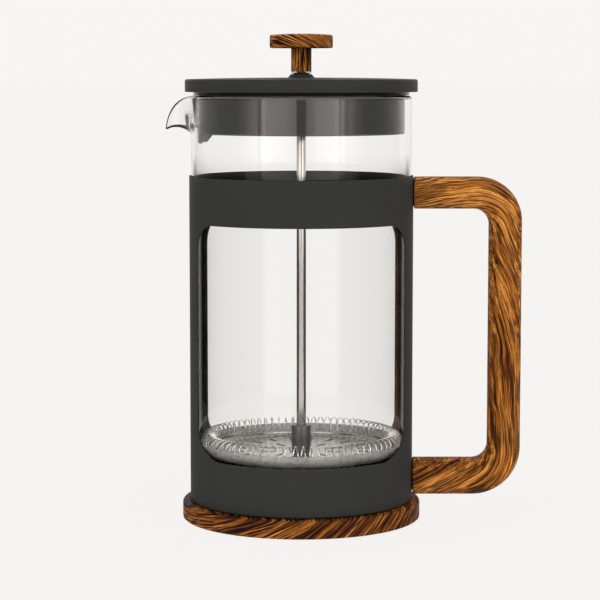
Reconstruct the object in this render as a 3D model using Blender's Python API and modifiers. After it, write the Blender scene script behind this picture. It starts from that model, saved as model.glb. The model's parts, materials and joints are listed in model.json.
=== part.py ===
"""French press: a glass beaker with a spout, held in a sheet frame on a round base, with a lid and a plunger.

Metres, +Z up. The origin is the centre of the face that the press stands on. The handle is at +X, the
spout at -X and the frame's two windows face -Y and +Y. Every piece is its own object, parented to the
empty of the body that it moves with, and every moving body turns or slides along the Z axis.
"""
import math

import bmesh
import bpy
from mathutils import Matrix, Vector

# ---------------------------------------------------------------- driving dimensions
GAP = 0.0003                      # room between neighbouring pieces
ROUND_STEPS = 64                  # sides of the large round pieces
SMALL_STEPS = 24                  # sides of the small round pieces
CUT_MARGIN = 0.004                # how far a cutter runs past what it cuts

BASE_RADIUS = 0.0556
BASE_BOTTOM = 0.0005
BASE_TOP = 0.0089
BASE_EDGE = 0.0012                # rounding of the base's edges
PAD_RADIUS = 0.0457
PAD_THICKNESS = 0.0012
PAD_RECESS = 0.0010                # depth of the recess in the base

SHEET = 0.0006                    # thickness of the frame's sheet
FRAME_RADIUS = 0.052
FRAME_BOTTOM = BASE_TOP + GAP
FRAME_TOP = 0.1606
FRAME_BEND = 0.0010               # outer radius of the bend into the bottom flange
FLANGE_INNER_RADIUS = 0.030
WINDOW_HALF_WIDTH = 0.0475
WINDOW_BOTTOM = 0.0318
WINDOW_TOP = 0.1393
WINDOW_CORNER_TOP = (0.0068, 0.0113)       # half axes of the corner ellipses, seen from the front
WINDOW_CORNER_BOTTOM = (0.0110, 0.0140)

BASE_SCREW_CIRCLE = 0.0455
BASE_SCREW_ANGLES = (60, 180, 300)
BASE_SCREW_LENGTH = 0.0070
SCREW_RADIUS = 0.0015
SCREW_HEAD_RADIUS = 0.0030
SCREW_HEAD_HEIGHT = 0.0014
SCREW_TIP = 0.0005                # chamfer of a screw's end
SOCKET_SHARE = (0.45, 0.6)        # hexagonal socket, as shares of the head's radius and height
CUSHION_RADII = (0.032, 0.040)
CUSHION_THICKNESS = 0.0015

GLASS_WALL = 0.0022
GLASS_RADIUS = FRAME_RADIUS - SHEET - GAP
GLASS_BOTTOM = FRAME_BOTTOM + SHEET + GAP + CUSHION_THICKNESS + GAP
GLASS_RIM = 0.1975
GLASS_CORNER = 0.008
SPOUT_HALF_ANGLE = math.radians(20)
SPOUT_REACH = 0.0112              # how far the tip's outer edge stands out of the wall
SPOUT_DROP = 0.0144               # how far the tip hangs below the rim
SPOUT_ROOT = 0.0170               # how far below the rim the spout begins
SPOUT_LIP = 0.5                   # share of the wall's thickness that the tip keeps
SPOUT_ROWS = 5
SPOUT_SOFTNESS = 0.15             # how round the rim's turn is at the tip
SPOUT_SWELL = 0.22                # how far up the wall keeps upright before it leans out
SPOUT_HOOK = (0.0056, 0.0028)     # where the lip comes from, inward of the tip and above it
RIM_TRIM = 0.0002                 # glass above the rim that the flat rim cut takes off

HANDLE_OUTER = 0.1026             # x of the grip's outer edge
HANDLE_INNER = 0.0872
UPPER_ARM = (0.1452, 0.1601)      # lower and upper edge of the upper arm
LOWER_ARM = (0.0110, 0.0281)
HANDLE_OUTER_CORNERS = (0.0208, 0.0225)
HANDLE_INNER_CORNERS = (0.0073, 0.0073)
HANDLE_HALF_DEPTH = 0.0090
HANDLE_SQUARENESS = 2.5           # power of the section's superellipse
HANDLE_SIDES = 20
HANDLE_CORNER_STEPS = 6
HANDLE_STANDOFF = 0.0005          # dark joint line between the frame and the handle

CUP_RADIUS = 0.0060               # pressed cup in the frame behind each end of the handle
CUP_BOTTOM = 0.0560
CUP_WALL = 0.0010
CUP_LAP = 0.00005                 # how far the cup stands inside the sheet's inner face
HANDLE_LEVELS = {"upper": sum(UPPER_ARM) / 2, "lower": sum(LOWER_ARM) / 2}
HANDLE_SCREW_RADIUS = 0.0018
HANDLE_SCREW_HEAD = (0.0040, 0.0019)
HANDLE_SCREW_TOP = 0.0524
INSERT_RADIUS = 0.0032
INSERT_END = 0.0660

LID_RADIUS = 0.0538
LID_SEAT = 0.1992                 # lower edge of the cap's lip
LID_EDGE_TOP = 0.2050
LID_CENTRE_TOP = 0.2058
LID_THICKNESS = 0.0015
LID_LIP = 0.0017
LID_EDGE = 0.0012                 # rounding of the cap's upper edge
LID_CROWN = (0.6, 0.0004)         # where the crown begins: a share of the radius, and how far it has dropped
BOSS_RADIUS = 0.0066
BOSS_INNER_RADIUS = 0.0060
BOSS_TOP = 0.2074
BOSS_TOP_RADIUS = 0.0050
LINER_FLANGE_RADIUS = GLASS_RADIUS - GLASS_WALL / 2    # the flange sits on the inner half of the glass rim
LINER_FLANGE_BOTTOM = GLASS_RIM + GAP
LINER_TOP = 0.2002
LINER_WEB = 0.0016
SKIRT_RADIUS = 0.0480
SKIRT_BOTTOM = 0.1800
SKIRT_WALL = 0.0016
TAB_DROP = 0.0043                 # how far the strainer tab hangs below the skirt, on the spout's side
TAB_HALF_ANGLE = math.radians(16.8)
TAB_FLARE_ANGLE = math.radians(28)
POUR_SLOT = (0.0060, 0.0022)      # depth and width
POUR_SLOT_COUNT = 7
POUR_SLOT_PITCH = math.radians(5)
POUR_SLOT_BOTTOM = 0.1773
POUR_ARCH = (math.radians(18), 0.1845, 0.0058)     # half angle, height of its springing, and rise

ROD_RADIUS = 0.0022
ROD_BOTTOM = 0.0250
ROD_TOP = 0.2172
ROD_CHAMFER = 0.0004
BUSH_RADIUS = 0.0036
BUSH_FLANGE_RADIUS = 0.0046
BUSH_TOP = 0.2081
BUSH_BOTTOM = 0.1964
BUSH_CHAMFER = 0.0003
RETAINER_RADIUS = 0.0070
RETAINER_THICKNESS = 0.0013

KNOB_RADIUS = 0.0146
KNOB_BOTTOM = 0.2193
KNOB_TOP = 0.2259
KNOB_EDGE = 0.0010
KNOB_CROWN = (0.6, 0.0002, 0.0006)         # share of the radius, drop there and drop at the edge
STEM_RADIUS = 0.0047
STEM_BOTTOM = BUSH_TOP + GAP
TENON_RADIUS = 0.0030
TENON_TOP = 0.2230
STEM_BORE_TOP = 0.2180
STEM_BORE_RADIUS = 0.0034
INSERT_SETBACK = 0.0006           # room above and below the stem's threaded sleeve

PLATE_BOTTOM = 0.0312             # underside of the spring plate's flat middle
PLATE_SHEET = 0.0006
PLATE_FLAT_RADIUS = 0.0390
PLATE_RIM_RADIUS = 0.0425
PLATE_SLOT_RINGS = ((10, 0.0165), (20, 0.0300))           # count and ring radius
PLATE_SLOT = (0.0080, 0.0018)
COLLAR_RADIUS = 0.0046
COLLAR_TOP = 0.0439
COLLAR_CHAMFER = 0.0006
COIL_RING_RADIUS = 0.0440
COIL_HEIGHT = 0.0374
COIL_RADIUS = 0.0033              # to the middle of the wire
COIL_WIRE = 0.0003
COIL_TURNS = 80
COIL_TURN_POINTS = 6
MESH_SHEET = 0.0004
MESH_FLAT_RADIUS = 0.0415
MESH_RIM_RADIUS = 0.0485
MESH_RIM_TOP = 0.0368
CROSS_RADIUS = 0.0400
CROSS_SHEET = 0.0008
CROSS_HOLES = ((12, 0.0310, 0.0055), (6, 0.0165, 0.0048))     # count, ring radius and hole radius
NUT_RADIUS = 0.0045
NUT_HEIGHT = 0.0031

FINISHES = {                      # colour, roughness, metallic, transmission
    "wood": ((0.260, 0.095, 0.028), 0.45, 0.0, 0.0),
    "powder_coat": ((0.041, 0.042, 0.041), 0.50, 0.0, 0.0),
    "satin_plastic": ((0.040, 0.040, 0.039), 0.42, 0.0, 0.0),
    "gloss_plastic": ((0.050, 0.045, 0.043), 0.15, 0.0, 0.0),
    "glass": ((0.96, 0.97, 0.96), 0.02, 0.0, 1.0),
    "steel": ((0.62, 0.60, 0.58), 0.25, 1.0, 0.0),
    "brass": ((0.72, 0.50, 0.20), 0.30, 1.0, 0.0),
    "rubber": ((0.015, 0.015, 0.015), 0.70, 0.0, 0.0),
}


# ---------------------------------------------------------------- helpers
def clear_scene():
    for thing in list(bpy.data.objects):
        bpy.data.objects.remove(thing)


def new_collection(name):
    collection = bpy.data.collections.new(name)
    bpy.context.scene.collection.children.link(collection)
    return collection


def add_material(piece, finish):
    """Give a piece its own Principled material."""
    colour, roughness, metallic, transmission = FINISHES[finish]
    material = bpy.data.materials.new(f"{piece.name}_{finish}")
    material.use_nodes = True
    shader = material.node_tree.nodes["Principled BSDF"]
    shader.inputs["Base Color"].default_value = (*colour, 1.0)
    shader.inputs["Roughness"].default_value = roughness
    shader.inputs["Metallic"].default_value = metallic
    shader.inputs["Transmission Weight"].default_value = transmission
    material.diffuse_color = (*colour, 1.0)
    piece.data.materials.append(material)


def add_piece(name, data, finish, body, location=(0, 0, 0), rotation=(0, 0, 0)):
    """A named sub-part, parented to the empty of the body that it moves with."""
    piece = bpy.data.objects.new(name, data)
    piece.location = location
    piece.rotation_euler = rotation
    parts.objects.link(piece)
    piece.parent = body
    add_material(piece, finish)
    return piece


def add_cutter(name, data, location=(0, 0, 0), rotation=(0, 0, 0)):
    cutter = bpy.data.objects.new(name, data)
    cutter.location = location
    cutter.rotation_euler = rotation
    cutter.hide_render = True
    cutter.display_type = "WIRE"
    cutters.objects.link(cutter)
    return cutter


def boolean(piece, tool, operation="DIFFERENCE"):
    modifier = piece.modifiers.new(tool.name, "BOOLEAN")
    modifier.operation = operation
    modifier.solver = "EXACT"
    modifier.object = tool


def arc(centre, radii, start, end, steps):
    """Points along an arc of an ellipse, from one angle to another in degrees."""
    points = []
    for step in range(steps + 1):
        angle = math.radians(start + (end - start) * step / steps)
        points.append((centre[0] + radii[0] * math.cos(angle), centre[1] + radii[1] * math.sin(angle)))
    return points


def circle(radius, steps):
    """A closed outline in plan, as a list of (x, y) points."""
    return arc((0, 0), (radius, radius), 0, 360, steps)[:-1]


def turned(name, profile, finish, body, steps=ROUND_STEPS, location=(0, 0, 0), rotation=(0, 0, 0)):
    """Turn a profile of (radius, height) points about the piece's Z axis.

    The profile runs outward along the top, down the outer side and back inward. One that starts away from
    the axis is a ring, and its last point joins its first.
    """
    mesh = bpy.data.meshes.new(name)
    points = [(radius, 0, height) for radius, height in profile]
    edges = [(index, index + 1) for index in range(len(points) - 1)]
    if profile[0][0] > 0:
        edges.append((len(points) - 1, 0))
    mesh.from_pydata(points, edges, [])
    piece = add_piece(name, mesh, finish, body, location, rotation)
    screw = piece.modifiers.new("Turn", "SCREW")
    screw.steps = steps
    screw.render_steps = steps
    screw.use_merge_vertices = True
    screw.merge_threshold = 0.00001
    screw.use_smooth_shade = True
    return piece


def tube_profile(inner, outer, bottom, top):
    return [(inner, top), (outer, top), (outer, bottom), (inner, bottom)]


def mesh_from(build, name):
    """A mesh from a function that fills a bmesh with one or more closed bodies."""
    shape = bmesh.new()
    build(shape)
    bmesh.ops.recalc_face_normals(shape, faces=shape.faces)
    mesh = bpy.data.meshes.new(name)
    shape.to_mesh(mesh)
    shape.free()
    return mesh


def cylinder_mesh(name, radius, low, high, steps):
    """A cylinder about Z with a corner at +X, from one height to another."""
    def build(shape):
        middle = Matrix.Translation((0, 0, (low + high) / 2))
        bmesh.ops.create_cone(shape, cap_ends=True, segments=steps, radius1=radius, radius2=radius,
                              depth=high - low, matrix=middle)
    return mesh_from(build, name)


def boxes_mesh(name, boxes):
    """Boxes, each from its place, as a matrix, and its size."""
    def build(shape):
        for place, size in boxes:
            bmesh.ops.create_cube(shape, size=1, matrix=place @ Matrix.Diagonal((*size, 1)))
    return mesh_from(build, name)


def spun_mesh(name, profile, closed):
    """Turn a profile of (radius, height) points once about Z, from -X, as faces and not as a modifier."""
    def build(shape):
        points = [shape.verts.new((-radius, 0, height)) for radius, height in profile]
        edges = [shape.edges.new(pair) for pair in zip(points, points[1:])]
        if closed:
            edges.append(shape.edges.new((points[-1], points[0])))
        bmesh.ops.spin(shape, geom=points + edges, cent=(0, 0, 0), axis=(0, 0, 1), angle=2 * math.pi,
                       steps=ROUND_STEPS)
        bmesh.ops.remove_doubles(shape, verts=shape.verts, dist=0.000001)
    return mesh_from(build, name)


def plate_mesh(name, outlines, thickness):
    """A flat plate about the plane Z = 0: the first outline is its edge and the others are its holes."""
    curve = bpy.data.curves.new(name, "CURVE")
    curve.dimensions = "2D"
    curve.fill_mode = "BOTH"
    curve.extrude = thickness / 2
    for outline in outlines:
        spline = curve.splines.new("POLY")
        spline.points.add(len(outline) - 1)
        for point, (x, y) in zip(spline.points, outline):
            point.co = (x, y, 0, 1)
        spline.use_cyclic_u = True
    drawn = bpy.data.objects.new(name, curve)
    parts.objects.link(drawn)
    evaluated = drawn.evaluated_get(bpy.context.evaluated_depsgraph_get())
    mesh = bpy.data.meshes.new_from_object(evaluated)
    bpy.data.objects.remove(drawn)
    shape = bmesh.new()
    shape.from_mesh(mesh)
    bmesh.ops.remove_doubles(shape, verts=shape.verts, dist=0.000001)
    bmesh.ops.recalc_face_normals(shape, faces=shape.faces)
    shape.to_mesh(mesh)
    shape.free()
    return mesh


def across(location):
    """Where a piece goes whose own -Z axis points along +X, away from the frame."""
    return {"location": location, "rotation": (0, -math.pi / 2, 0)}


# ---------------------------------------------------------------- stand
def base_disc(body):
    """The round base, with a recess below for the pad and a blind hole for each screw."""
    recess_top = BASE_BOTTOM + PAD_RECESS
    recess_radius = PAD_RADIUS + GAP
    edge = (BASE_EDGE, BASE_EDGE)
    profile = [(0, BASE_TOP)]
    profile += arc((BASE_RADIUS - BASE_EDGE, BASE_TOP - BASE_EDGE), edge, 90, 0, 2)
    profile += arc((BASE_RADIUS - BASE_EDGE, BASE_BOTTOM + BASE_EDGE), edge, 0, -90, 2)
    profile += [(recess_radius, BASE_BOTTOM), (recess_radius, recess_top), (0, recess_top)]
    disc = turned("base_disc", profile, "wood", body)
    hole_bottom = FRAME_BOTTOM + SHEET - BASE_SCREW_LENGTH
    for number, (x, y) in enumerate(base_screw_places(), 1):
        hole = cylinder_mesh(f"base_hole_{number}", SCREW_RADIUS + GAP, hole_bottom,
                             BASE_TOP + CUT_MARGIN, 12)
        boolean(disc, add_cutter(hole.name, hole, (x, y, 0)))


def base_pad(body):
    """The anti-slip disc that the press stands on."""
    profile = [(0, PAD_THICKNESS), (PAD_RADIUS, PAD_THICKNESS), (PAD_RADIUS, 0), (0, 0)]
    turned("base_pad", profile, "rubber", body, steps=48)


def window_outline():
    """The window's outline seen from the front, with an elliptical corner at each end."""
    top, bottom = WINDOW_CORNER_TOP, WINDOW_CORNER_BOTTOM
    right_top = (WINDOW_HALF_WIDTH - top[0], WINDOW_TOP - top[1])
    left_top = (-right_top[0], right_top[1])
    right_bottom = (WINDOW_HALF_WIDTH - bottom[0], WINDOW_BOTTOM + bottom[1])
    left_bottom = (-right_bottom[0], right_bottom[1])
    outline = arc(right_top, top, 0, 90, 6)
    outline += arc(left_top, top, 90, 180, 6)
    outline += arc(left_bottom, bottom, 180, 270, 6)
    outline += arc(right_bottom, bottom, 270, 360, 6)
    return outline


def frame_shell(body):
    """The sheet frame: a tube with two windows, a flange below, and a pressed cup for each handle screw."""
    inner = FRAME_RADIUS - SHEET
    bend_centre = (FRAME_RADIUS - FRAME_BEND, FRAME_BOTTOM + FRAME_BEND)
    inner_bend = FRAME_BEND - SHEET
    profile = [(inner, FRAME_TOP), (FRAME_RADIUS, FRAME_TOP)]
    profile += arc(bend_centre, (FRAME_BEND, FRAME_BEND), 0, -90, 2)
    profile += [(FLANGE_INNER_RADIUS, FRAME_BOTTOM), (FLANGE_INNER_RADIUS, FRAME_BOTTOM + SHEET)]
    profile += arc(bend_centre, (inner_bend, inner_bend), -90, 0, 1)
    shell = turned("frame_shell", profile, "powder_coat", body)

    window = plate_mesh("frame_windows", [window_outline()], 2 * (FRAME_RADIUS + CUT_MARGIN))
    boolean(shell, add_cutter(window.name, window, rotation=(math.pi / 2, 0, 0)))

    for number, (x, y) in enumerate(base_screw_places(), 1):
        hole = cylinder_mesh(f"flange_hole_{number}", SCREW_RADIUS + GAP, BASE_TOP,
                             FRAME_BOTTOM + SHEET + CUT_MARGIN, 12)
        boolean(shell, add_cutter(hole.name, hole, (x, y, 0)))

    cup_start = FRAME_RADIUS - SHEET + CUP_LAP
    for level, height in HANDLE_LEVELS.items():
        cup = cylinder_mesh(f"cup_{level}", CUP_RADIUS, -CUP_BOTTOM, -cup_start, SMALL_STEPS)
        boolean(shell, add_cutter(cup.name, cup, **across((0, 0, height))), "UNION")
        bore = cylinder_mesh(f"cup_bore_{level}", CUP_RADIUS - CUP_WALL, CUP_WALL - CUP_BOTTOM,
                             CUT_MARGIN - cup_start, SMALL_STEPS)
        boolean(shell, add_cutter(bore.name, bore, **across((0, 0, height))))
        hole = cylinder_mesh(f"cup_hole_{level}", HANDLE_SCREW_RADIUS + GAP, -CUP_BOTTOM - CUT_MARGIN,
                             -cup_start, 16)
        boolean(shell, add_cutter(hole.name, hole, **across((0, 0, height))))


def base_screw_places():
    angles = [math.radians(angle) for angle in BASE_SCREW_ANGLES]
    return [(BASE_SCREW_CIRCLE * math.cos(angle), BASE_SCREW_CIRCLE * math.sin(angle)) for angle in angles]


def screw(name, radius, head, length, body, **place):
    """A screw below its own origin: a rounded head with a hexagonal socket, and a plain shank."""
    head_radius, head_height = head
    rounding = 0.4 * head_height
    profile = [(0, 0)]
    profile += arc((head_radius - rounding, -rounding), (rounding, rounding), 90, 0, 2)
    profile += [(head_radius, -head_height), (radius, -head_height)]
    profile += [(radius, -head_height - length + SCREW_TIP), (radius - SCREW_TIP, -head_height - length)]
    profile += [(0, -head_height - length)]
    piece = turned(name, profile, "steel", body, steps=16, **place)
    socket = cylinder_mesh(f"{name}_socket", SOCKET_SHARE[0] * head_radius, -SOCKET_SHARE[1] * head_height,
                           CUT_MARGIN, 6)
    boolean(piece, add_cutter(socket.name, socket, **place))


def base_screws(body):
    head_top = FRAME_BOTTOM + SHEET + GAP + SCREW_HEAD_HEIGHT
    for number, (x, y) in enumerate(base_screw_places(), 1):
        screw(f"base_screw_{number}", SCREW_RADIUS, (SCREW_HEAD_RADIUS, SCREW_HEAD_HEIGHT),
              BASE_SCREW_LENGTH - GAP, body, location=(x, y, head_top))


def beaker_cushion(body):
    """The soft ring that the glass stands on."""
    bottom = FRAME_BOTTOM + SHEET + GAP
    profile = tube_profile(*CUSHION_RADII, bottom, bottom + CUSHION_THICKNESS)
    turned("beaker_cushion", profile, "rubber", body, steps=48)


# ---------------------------------------------------------------- handle
def handle_edge(right, top, bottom, corners, start):
    """One edge of the handle, from its upper end round the two corners to its lower end, as (x, z) points."""
    top_corner, bottom_corner = corners
    points = [(start, top)]
    points += arc((right - top_corner, top - top_corner), (top_corner, top_corner), 90, 0,
                  HANDLE_CORNER_STEPS)
    points += arc((right - bottom_corner, bottom + bottom_corner), (bottom_corner, bottom_corner), 0, -90,
                  HANDLE_CORNER_STEPS)
    points.append((start, bottom))
    return points


def superellipse(angle):
    """The two coordinates of a rounded square of half width 1."""
    power = 2 / HANDLE_SQUARENESS
    return [math.copysign(abs(value) ** power, value) for value in (math.cos(angle), math.sin(angle))]


def handle(body):
    """The D-shaped handle: rounded sections lofted between its two edges, and bored at both ends."""
    start = FRAME_RADIUS - CUT_MARGIN
    outer_edge = handle_edge(HANDLE_OUTER, UPPER_ARM[1], LOWER_ARM[0], HANDLE_OUTER_CORNERS, start)
    inner_edge = handle_edge(HANDLE_INNER, UPPER_ARM[0], LOWER_ARM[1], HANDLE_INNER_CORNERS, start)

    def build(shape):
        rings = []
        for outer, inner in zip(outer_edge, inner_edge):
            outer_point = Vector((outer[0], 0, outer[1]))
            inner_point = Vector((inner[0], 0, inner[1]))
            middle = (outer_point + inner_point) / 2
            half_width = (outer_point - inner_point) / 2
            ring = []
            for side in range(HANDLE_SIDES):
                across_width, across_depth = superellipse(2 * math.pi * side / HANDLE_SIDES)
                depth = Vector((0, HANDLE_HALF_DEPTH * across_depth, 0))
                ring.append(shape.verts.new(middle + half_width * across_width + depth))
            rings.append(ring)
        for ring, following in zip(rings, rings[1:]):
            for side in range(HANDLE_SIDES):
                beside = (side + 1) % HANDLE_SIDES
                shape.faces.new((ring[side], ring[beside], following[beside], following[side]))
        shape.faces.new(rings[0])
        shape.faces.new(rings[-1])

    piece = add_piece("handle", mesh_from(build, "handle"), "wood", body)
    seat = cylinder_mesh("handle_seat", FRAME_RADIUS + HANDLE_STANDOFF, 0, FRAME_TOP + CUT_MARGIN,
                         ROUND_STEPS)
    boolean(piece, add_cutter(seat.name, seat))
    for level, height in HANDLE_LEVELS.items():
        recess = cylinder_mesh(f"handle_recess_{level}", CUP_RADIUS + GAP, -CUP_BOTTOM - GAP,
                               CUT_MARGIN - FRAME_RADIUS, SMALL_STEPS)
        boolean(piece, add_cutter(recess.name, recess, **across((0, 0, height))))
        hole = cylinder_mesh(f"handle_hole_{level}", INSERT_RADIUS + GAP, -INSERT_END - GAP, -CUP_BOTTOM,
                             SMALL_STEPS)
        boolean(piece, add_cutter(hole.name, hole, **across((0, 0, height))))


def handle_fixings(body):
    """A screw from inside each pressed cup, and the threaded insert that it holds in the handle."""
    insert_start = CUP_BOTTOM + 2 * GAP
    head_height = HANDLE_SCREW_HEAD[1]
    for level, height in HANDLE_LEVELS.items():
        screw(f"handle_screw_{level}", HANDLE_SCREW_RADIUS, HANDLE_SCREW_HEAD,
              INSERT_END - HANDLE_SCREW_TOP - head_height, body, **across((HANDLE_SCREW_TOP, 0, height)))
        profile = tube_profile(HANDLE_SCREW_RADIUS + GAP, INSERT_RADIUS, insert_start - INSERT_END, 0)
        turned(f"handle_insert_{level}", profile, "brass", body, steps=16,
               **across((insert_start, 0, height)))


# ---------------------------------------------------------------- beaker
def spout_place(point):
    """Where a point of the plain glass wall stands in the spout.

    The first number is 1 on the spout's middle line and 0 beyond its sides, and the second rises from 0 at
    the spout's root to 1 at the rim.
    """
    across_spout = math.atan2(point.y, -point.x) / SPOUT_HALF_ANGLE
    up = (point.z - GLASS_RIM + SPOUT_ROOT) / SPOUT_ROOT
    pull = 0.5 * (1 + math.cos(math.pi * min(abs(across_spout), 1)))
    return pull, max(up, 0)


def spout_share(point):
    """How near a point is to the tip of the spout, from 0 to 1."""
    pull, up = spout_place(point)
    return pull * up * up


def drawn_into_spout(point):
    """Where a point of the plain glass wall lies once the spout is drawn out of it."""
    pull, up = spout_place(point)
    if pull == 0 or up == 0:
        return point
    softness = SPOUT_SOFTNESS
    span = math.hypot(1, softness) - softness
    lift = (math.hypot(math.sqrt(1 - pull * pull), softness) - softness) / span
    drop = SPOUT_DROP * (1 - lift)
    rise = SPOUT_ROOT - drop
    root = Vector((0, -SPOUT_ROOT))
    rim = Vector((SPOUT_REACH * pull, -drop))
    above_root = root + Vector((0, rise * (1 / 3 + SPOUT_SWELL * pull)))
    hook = Vector((-SPOUT_HOOK[0], SPOUT_HOOK[1]))
    below_rim = rim + hook * pull - Vector((0, rise * (1 - pull) / 3))
    stay = 1 - up
    out, height = (root * stay ** 3 + above_root * 3 * stay ** 2 * up
                   + below_rim * 3 * stay * up ** 2 + rim * up ** 3)
    scale = (GLASS_RADIUS + out) / GLASS_RADIUS
    return Vector((point.x * scale, point.y * scale, GLASS_RIM + height))


def glass_beaker(body):
    """The beaker: its outer face is turned, the spout is drawn out of it, and the wall lies inside it."""
    corner_centre = (GLASS_RADIUS - GLASS_CORNER, GLASS_BOTTOM + GLASS_CORNER)
    profile = [(0, GLASS_BOTTOM)]
    profile += arc(corner_centre, (GLASS_CORNER, GLASS_CORNER), -90, 0, 4)
    profile += [(GLASS_RADIUS, GLASS_RIM - SPOUT_ROOT * (1 - row / SPOUT_ROWS)) for row in range(SPOUT_ROWS)]
    profile += [(GLASS_RADIUS, GLASS_RIM + RIM_TRIM)]

    piece = add_piece("glass_beaker", spun_mesh("glass_beaker", profile, closed=False), "glass", body)
    thickness = piece.vertex_groups.new(name="wall_thickness")
    for vertex in piece.data.vertices:
        thickness.add([vertex.index], 1 - (1 - SPOUT_LIP) * spout_share(vertex.co), "REPLACE")
        vertex.co = drawn_into_spout(vertex.co)
    wall = piece.modifiers.new("Wall", "SOLIDIFY")
    wall.thickness = GLASS_WALL
    wall.vertex_group = thickness.name
    wall.offset = -1
    wall.use_even_offset = True
    wall.use_quality_normals = True
    rim_cut = cylinder_mesh("rim_cut", GLASS_RADIUS + 2 * SPOUT_REACH, GLASS_RIM, GLASS_RIM + CUT_MARGIN, 32)
    boolean(piece, add_cutter(rim_cut.name, rim_cut))


# ---------------------------------------------------------------- lid
def lid_cap(body):
    """The domed cap with a lip round its edge, and a boss in the middle that the bush passes through."""
    hole = BUSH_RADIUS + GAP
    lip_inner = LID_RADIUS - LID_LIP
    boss_rounding = (BOSS_RADIUS - BOSS_TOP_RADIUS, BOSS_TOP - LID_CENTRE_TOP)
    profile = [(hole, BOSS_TOP)]
    profile += arc((BOSS_TOP_RADIUS, LID_CENTRE_TOP), boss_rounding, 90, 0, 2)
    profile += [(LID_RADIUS * LID_CROWN[0], LID_CENTRE_TOP - LID_CROWN[1])]
    profile += arc((LID_RADIUS - LID_EDGE, LID_EDGE_TOP - LID_EDGE), (LID_EDGE, LID_EDGE), 75, 0, 2)
    profile += [(LID_RADIUS, LID_SEAT), (lip_inner, LID_SEAT), (lip_inner, LID_EDGE_TOP - LID_THICKNESS)]
    profile += [(BOSS_INNER_RADIUS, LID_CENTRE_TOP - LID_THICKNESS), (BOSS_INNER_RADIUS, LINER_TOP + GAP)]
    profile += [(hole, LINER_TOP + GAP)]
    turned("lid_cap", profile, "satin_plastic", body)


def hung_into_tab(point):
    """Where a point of the plain liner lies once the strainer tab hangs from its skirt."""
    if point.z > SKIRT_BOTTOM + SKIRT_WALL:
        return point
    from_spout = abs(math.atan2(point.y, -point.x))
    share = (TAB_FLARE_ANGLE - from_spout) / (TAB_FLARE_ANGLE - TAB_HALF_ANGLE)
    return Vector((point.x, point.y, point.z - TAB_DROP * min(max(share, 0), 1)))


def lid_liner(body):
    """The liner: a flange on the glass rim, and a skirt with an arch of pour slots in a tab by the spout."""
    hole = BUSH_RADIUS + GAP
    skirt_inner = SKIRT_RADIUS - SKIRT_WALL
    rounding = SKIRT_WALL / 2
    profile = [(hole, LINER_TOP), (LINER_FLANGE_RADIUS, LINER_TOP)]
    profile += [(LINER_FLANGE_RADIUS, LINER_FLANGE_BOTTOM)]
    profile += [(SKIRT_RADIUS, LINER_FLANGE_BOTTOM)]
    profile += arc((SKIRT_RADIUS - rounding, SKIRT_BOTTOM + rounding), (rounding, rounding), 0, -180, 4)
    profile += [(skirt_inner, LINER_TOP - LINER_WEB), (hole, LINER_TOP - LINER_WEB)]
    liner = add_piece("lid_liner", spun_mesh("lid_liner", profile, closed=True), "gloss_plastic", body)
    for vertex in liner.data.vertices:
        vertex.co = hung_into_tab(vertex.co)
    arch_half_angle, arch_springing, arch_rise = POUR_ARCH
    boxes = []
    for number in range(POUR_SLOT_COUNT):
        from_spout = POUR_SLOT_PITCH * (number - (POUR_SLOT_COUNT - 1) / 2)
        top = arch_springing + arch_rise * math.sqrt(1 - (from_spout / arch_half_angle) ** 2)
        middle = Vector((SKIRT_RADIUS - SKIRT_WALL / 2, 0, (POUR_SLOT_BOTTOM + top) / 2))
        place = Matrix.Rotation(math.pi + from_spout, 4, "Z") @ Matrix.Translation(middle)
        boxes.append((place, (*POUR_SLOT, top - POUR_SLOT_BOTTOM)))
    slots = boxes_mesh("pour_slots", boxes)
    boolean(liner, add_cutter(slots.name, slots))


def lid_bush(body):
    """The black guide bush that the rod slides through."""
    bore = ROD_RADIUS + GAP
    flange_bottom = BOSS_TOP + GAP
    profile = [(bore, BUSH_TOP), (BUSH_FLANGE_RADIUS - BUSH_CHAMFER, BUSH_TOP)]
    profile += [(BUSH_FLANGE_RADIUS, BUSH_TOP - BUSH_CHAMFER), (BUSH_FLANGE_RADIUS, flange_bottom)]
    profile += [(BUSH_RADIUS, flange_bottom), (BUSH_RADIUS, BUSH_BOTTOM)]
    profile += [(bore, BUSH_BOTTOM)]
    turned("lid_bush", profile, "rubber", body, steps=SMALL_STEPS)


def bush_retainer(body):
    """The ring that holds the bush below the liner."""
    top = LINER_TOP - LINER_WEB - GAP
    profile = tube_profile(BUSH_RADIUS + GAP, RETAINER_RADIUS, top - RETAINER_THICKNESS, top)
    turned("bush_retainer", profile, "steel", body, steps=SMALL_STEPS)


# ---------------------------------------------------------------- plunger
def knob_disc(body):
    """The domed top of the knob, with a blind hole for the stem's tenon."""
    hole_radius = TENON_RADIUS + GAP
    hole_top = TENON_TOP + GAP
    edge = (KNOB_EDGE, KNOB_EDGE)
    crown_share, crown_drop, edge_drop = KNOB_CROWN
    profile = [(0, KNOB_TOP), (KNOB_RADIUS * crown_share, KNOB_TOP - crown_drop)]
    profile += arc((KNOB_RADIUS - KNOB_EDGE, KNOB_TOP - edge_drop - KNOB_EDGE), edge, 75, 0, 2)
    profile += arc((KNOB_RADIUS - KNOB_EDGE, KNOB_BOTTOM + KNOB_EDGE), edge, 0, -90, 2)
    profile += [(hole_radius, KNOB_BOTTOM), (hole_radius, hole_top), (0, hole_top)]
    turned("knob_disc", profile, "wood", body, steps=40)


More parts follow.
